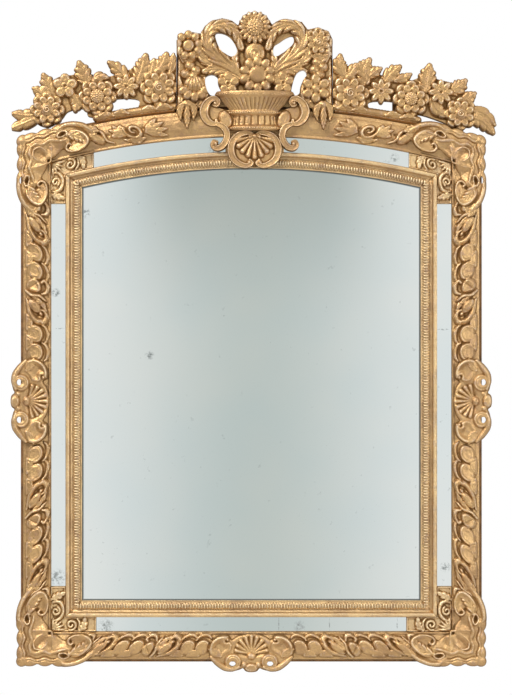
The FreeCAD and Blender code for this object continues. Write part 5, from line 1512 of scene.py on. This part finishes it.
iron = forged_iron()
wrought_iron = finish("wrought iron", iron, {}, bump_height=0.0004)
screw_iron = finish("screw iron", iron, {"Iron": (0.13, 0.12, 0.11, 1)}, bump_height=0.0002)
dress(stile_pine, "crest_batten_centre_left", "crest_batten_centre_right", "crest_batten_left",
      "crest_batten_right")
dress(screw_iron, "batten_screws", "moulding_pins")


# Hangers.
# Two forged straps with a rolled eye, screwed to the hanging rail, and a loose D-shaped ring in each eye
# for the wall hooks.

dress(wrought_iron, "hanger_strap_left", "hanger_strap_right", "hanger_ring_left", "hanger_ring_right")
dress(screw_iron, "hanger_screws")


# Studio.
# A pale floor below the hanging mirror, soft light from large panels, and a white surround.
# The camera stands square in front of the glass, far enough back for little perspective.

def studio():
    scene = bpy.context.scene
    scene.view_settings.view_transform = "Standard"
    image_middle = (0.0113, 0.1284)
    seen_height, distance, face = 1.668, 6.0, -0.045
    camera = bpy.data.objects.new("camera", bpy.data.cameras.new("camera"))
    camera.data.sensor_width = 36.0
    camera.data.lens = camera.data.sensor_width * distance / seen_height
    camera.location = (image_middle[0], face - distance, image_middle[1])
    camera.rotation_euler = (math.pi / 2, 0.0, 0.0)
    scene.collection.objects.link(camera)
    scene.camera = camera


studio()


def panel_light(name, place, target, width, height, power, colour):
    """A large soft panel turned towards a target."""
    light = bpy.data.lights.new(name, "AREA")
    light.shape, light.size, light.size_y = "RECTANGLE", width, height
    light.energy, light.color = power, colour
    made = bpy.data.objects.new(name, light)
    made.location = place
    made.rotation_euler = (Vector(target) - Vector(place)).to_track_quat("-Z", "Y").to_euler()
    bpy.context.scene.collection.objects.link(made)


panel_light("key", (-3.0, -3.6, 3.6), (0.0, 0.0, 0.1), 1.5, 1.5, 225.0, (1.0, 0.97, 0.92))
panel_light("fill", (3.2, -3.0, 0.6), (0.0, 0.0, 0.0), 1.4, 1.8, 60.0, (0.95, 0.98, 1.0))


def surround():
    """White to the camera; metal and glass mirror a grey room, pale a little aside and dim far aside."""
    world = bpy.data.worlds.new("surround")
    world.use_nodes = True
    bpy.context.scene.world = world
    tree = world.node_tree
    background = tree.nodes["Background"]
    way = node(tree, "ShaderNodeTexCoord").outputs["Generated"]
    axes = node(tree, "ShaderNodeSeparateXYZ", {0: way}).outputs
    path = node(tree, "ShaderNodeLightPath").outputs
    aside = maths(tree, "ABSOLUTE", axes["X"])
    room = tinted(tree, eased(tree, aside, 0.0, 0.08), (0.55, 0.6, 0.58, 1), (0.8, 0.83, 0.83, 1))
    shade = maths(tree, "MULTIPLY", eased(tree, axes["Z"], 0.0, 0.1), eased(tree, aside, 0.062, 0.025))
    overhead = tinted(tree, shade, room, (0.39, 0.43, 0.41, 1))
    dim = maths(tree, "MAXIMUM", eased(tree, aside, 0.22, 0.5), eased(tree, axes["Z"], -0.2, -0.5))
    overhead = tinted(tree, dim, overhead, (0.2, 0.19, 0.18, 1))
    overhead = tinted(tree, eased(tree, axes["Z"], 0.3, 0.65), overhead, (0.9, 0.89, 0.87, 1))
    behind = eased(tree, axes["Y"], -0.2, 0.2)
    mirrored = tinted(tree, behind, overhead, (1.0, 1.0, 1.0, 1))
    seen = maths(tree, "MAXIMUM", path["Is Glossy Ray"], path["Is Transmission Ray"])
    lit = tinted(tree, seen, (0.4, 0.4, 0.4, 1), mirrored)
    shown = tinted(tree, path["Is Camera Ray"], lit, (1.0, 1.0, 1.0, 1))
    tree.links.new(shown, background.inputs["Color"])


surround()


def floor():
    lo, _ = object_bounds()
    drop, half = 0.25, 1.6
    level = lo[2] - drop
    corners = [(-half, -2.2, level), (half, -2.2, level), (half, 1.0, level), (-half, 1.0, level)]
    mesh = bpy.data.meshes.new("studio_floor")
    mesh.from_pydata(corners, [], [(0, 1, 2, 3)])
    made = bpy.data.objects.new("studio_floor", mesh)
    bpy.context.scene.collection.objects.link(made)
    plaster = bpy.data.materials.new("pale floor")
    plaster.use_nodes = True
    tree = plaster.node_tree
    shader = tree.nodes["Principled BSDF"]
    place = node(tree, "ShaderNodeTexCoord").outputs["Object"]
    shade = tinted(tree, cloud(tree, place, 5.0), (0.86, 0.86, 0.85, 1), (0.9, 0.9, 0.89, 1))
    tree.links.new(shade, shader.inputs["Base Color"])
    shader.inputs["Roughness"].default_value = 0.8
    mesh.materials.append(plaster)
    made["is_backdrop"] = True


floor()

visual_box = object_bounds()
{name: [list(corner) for corner in box] for name, box in (("cad", cad_box), ("visual", visual_box))}
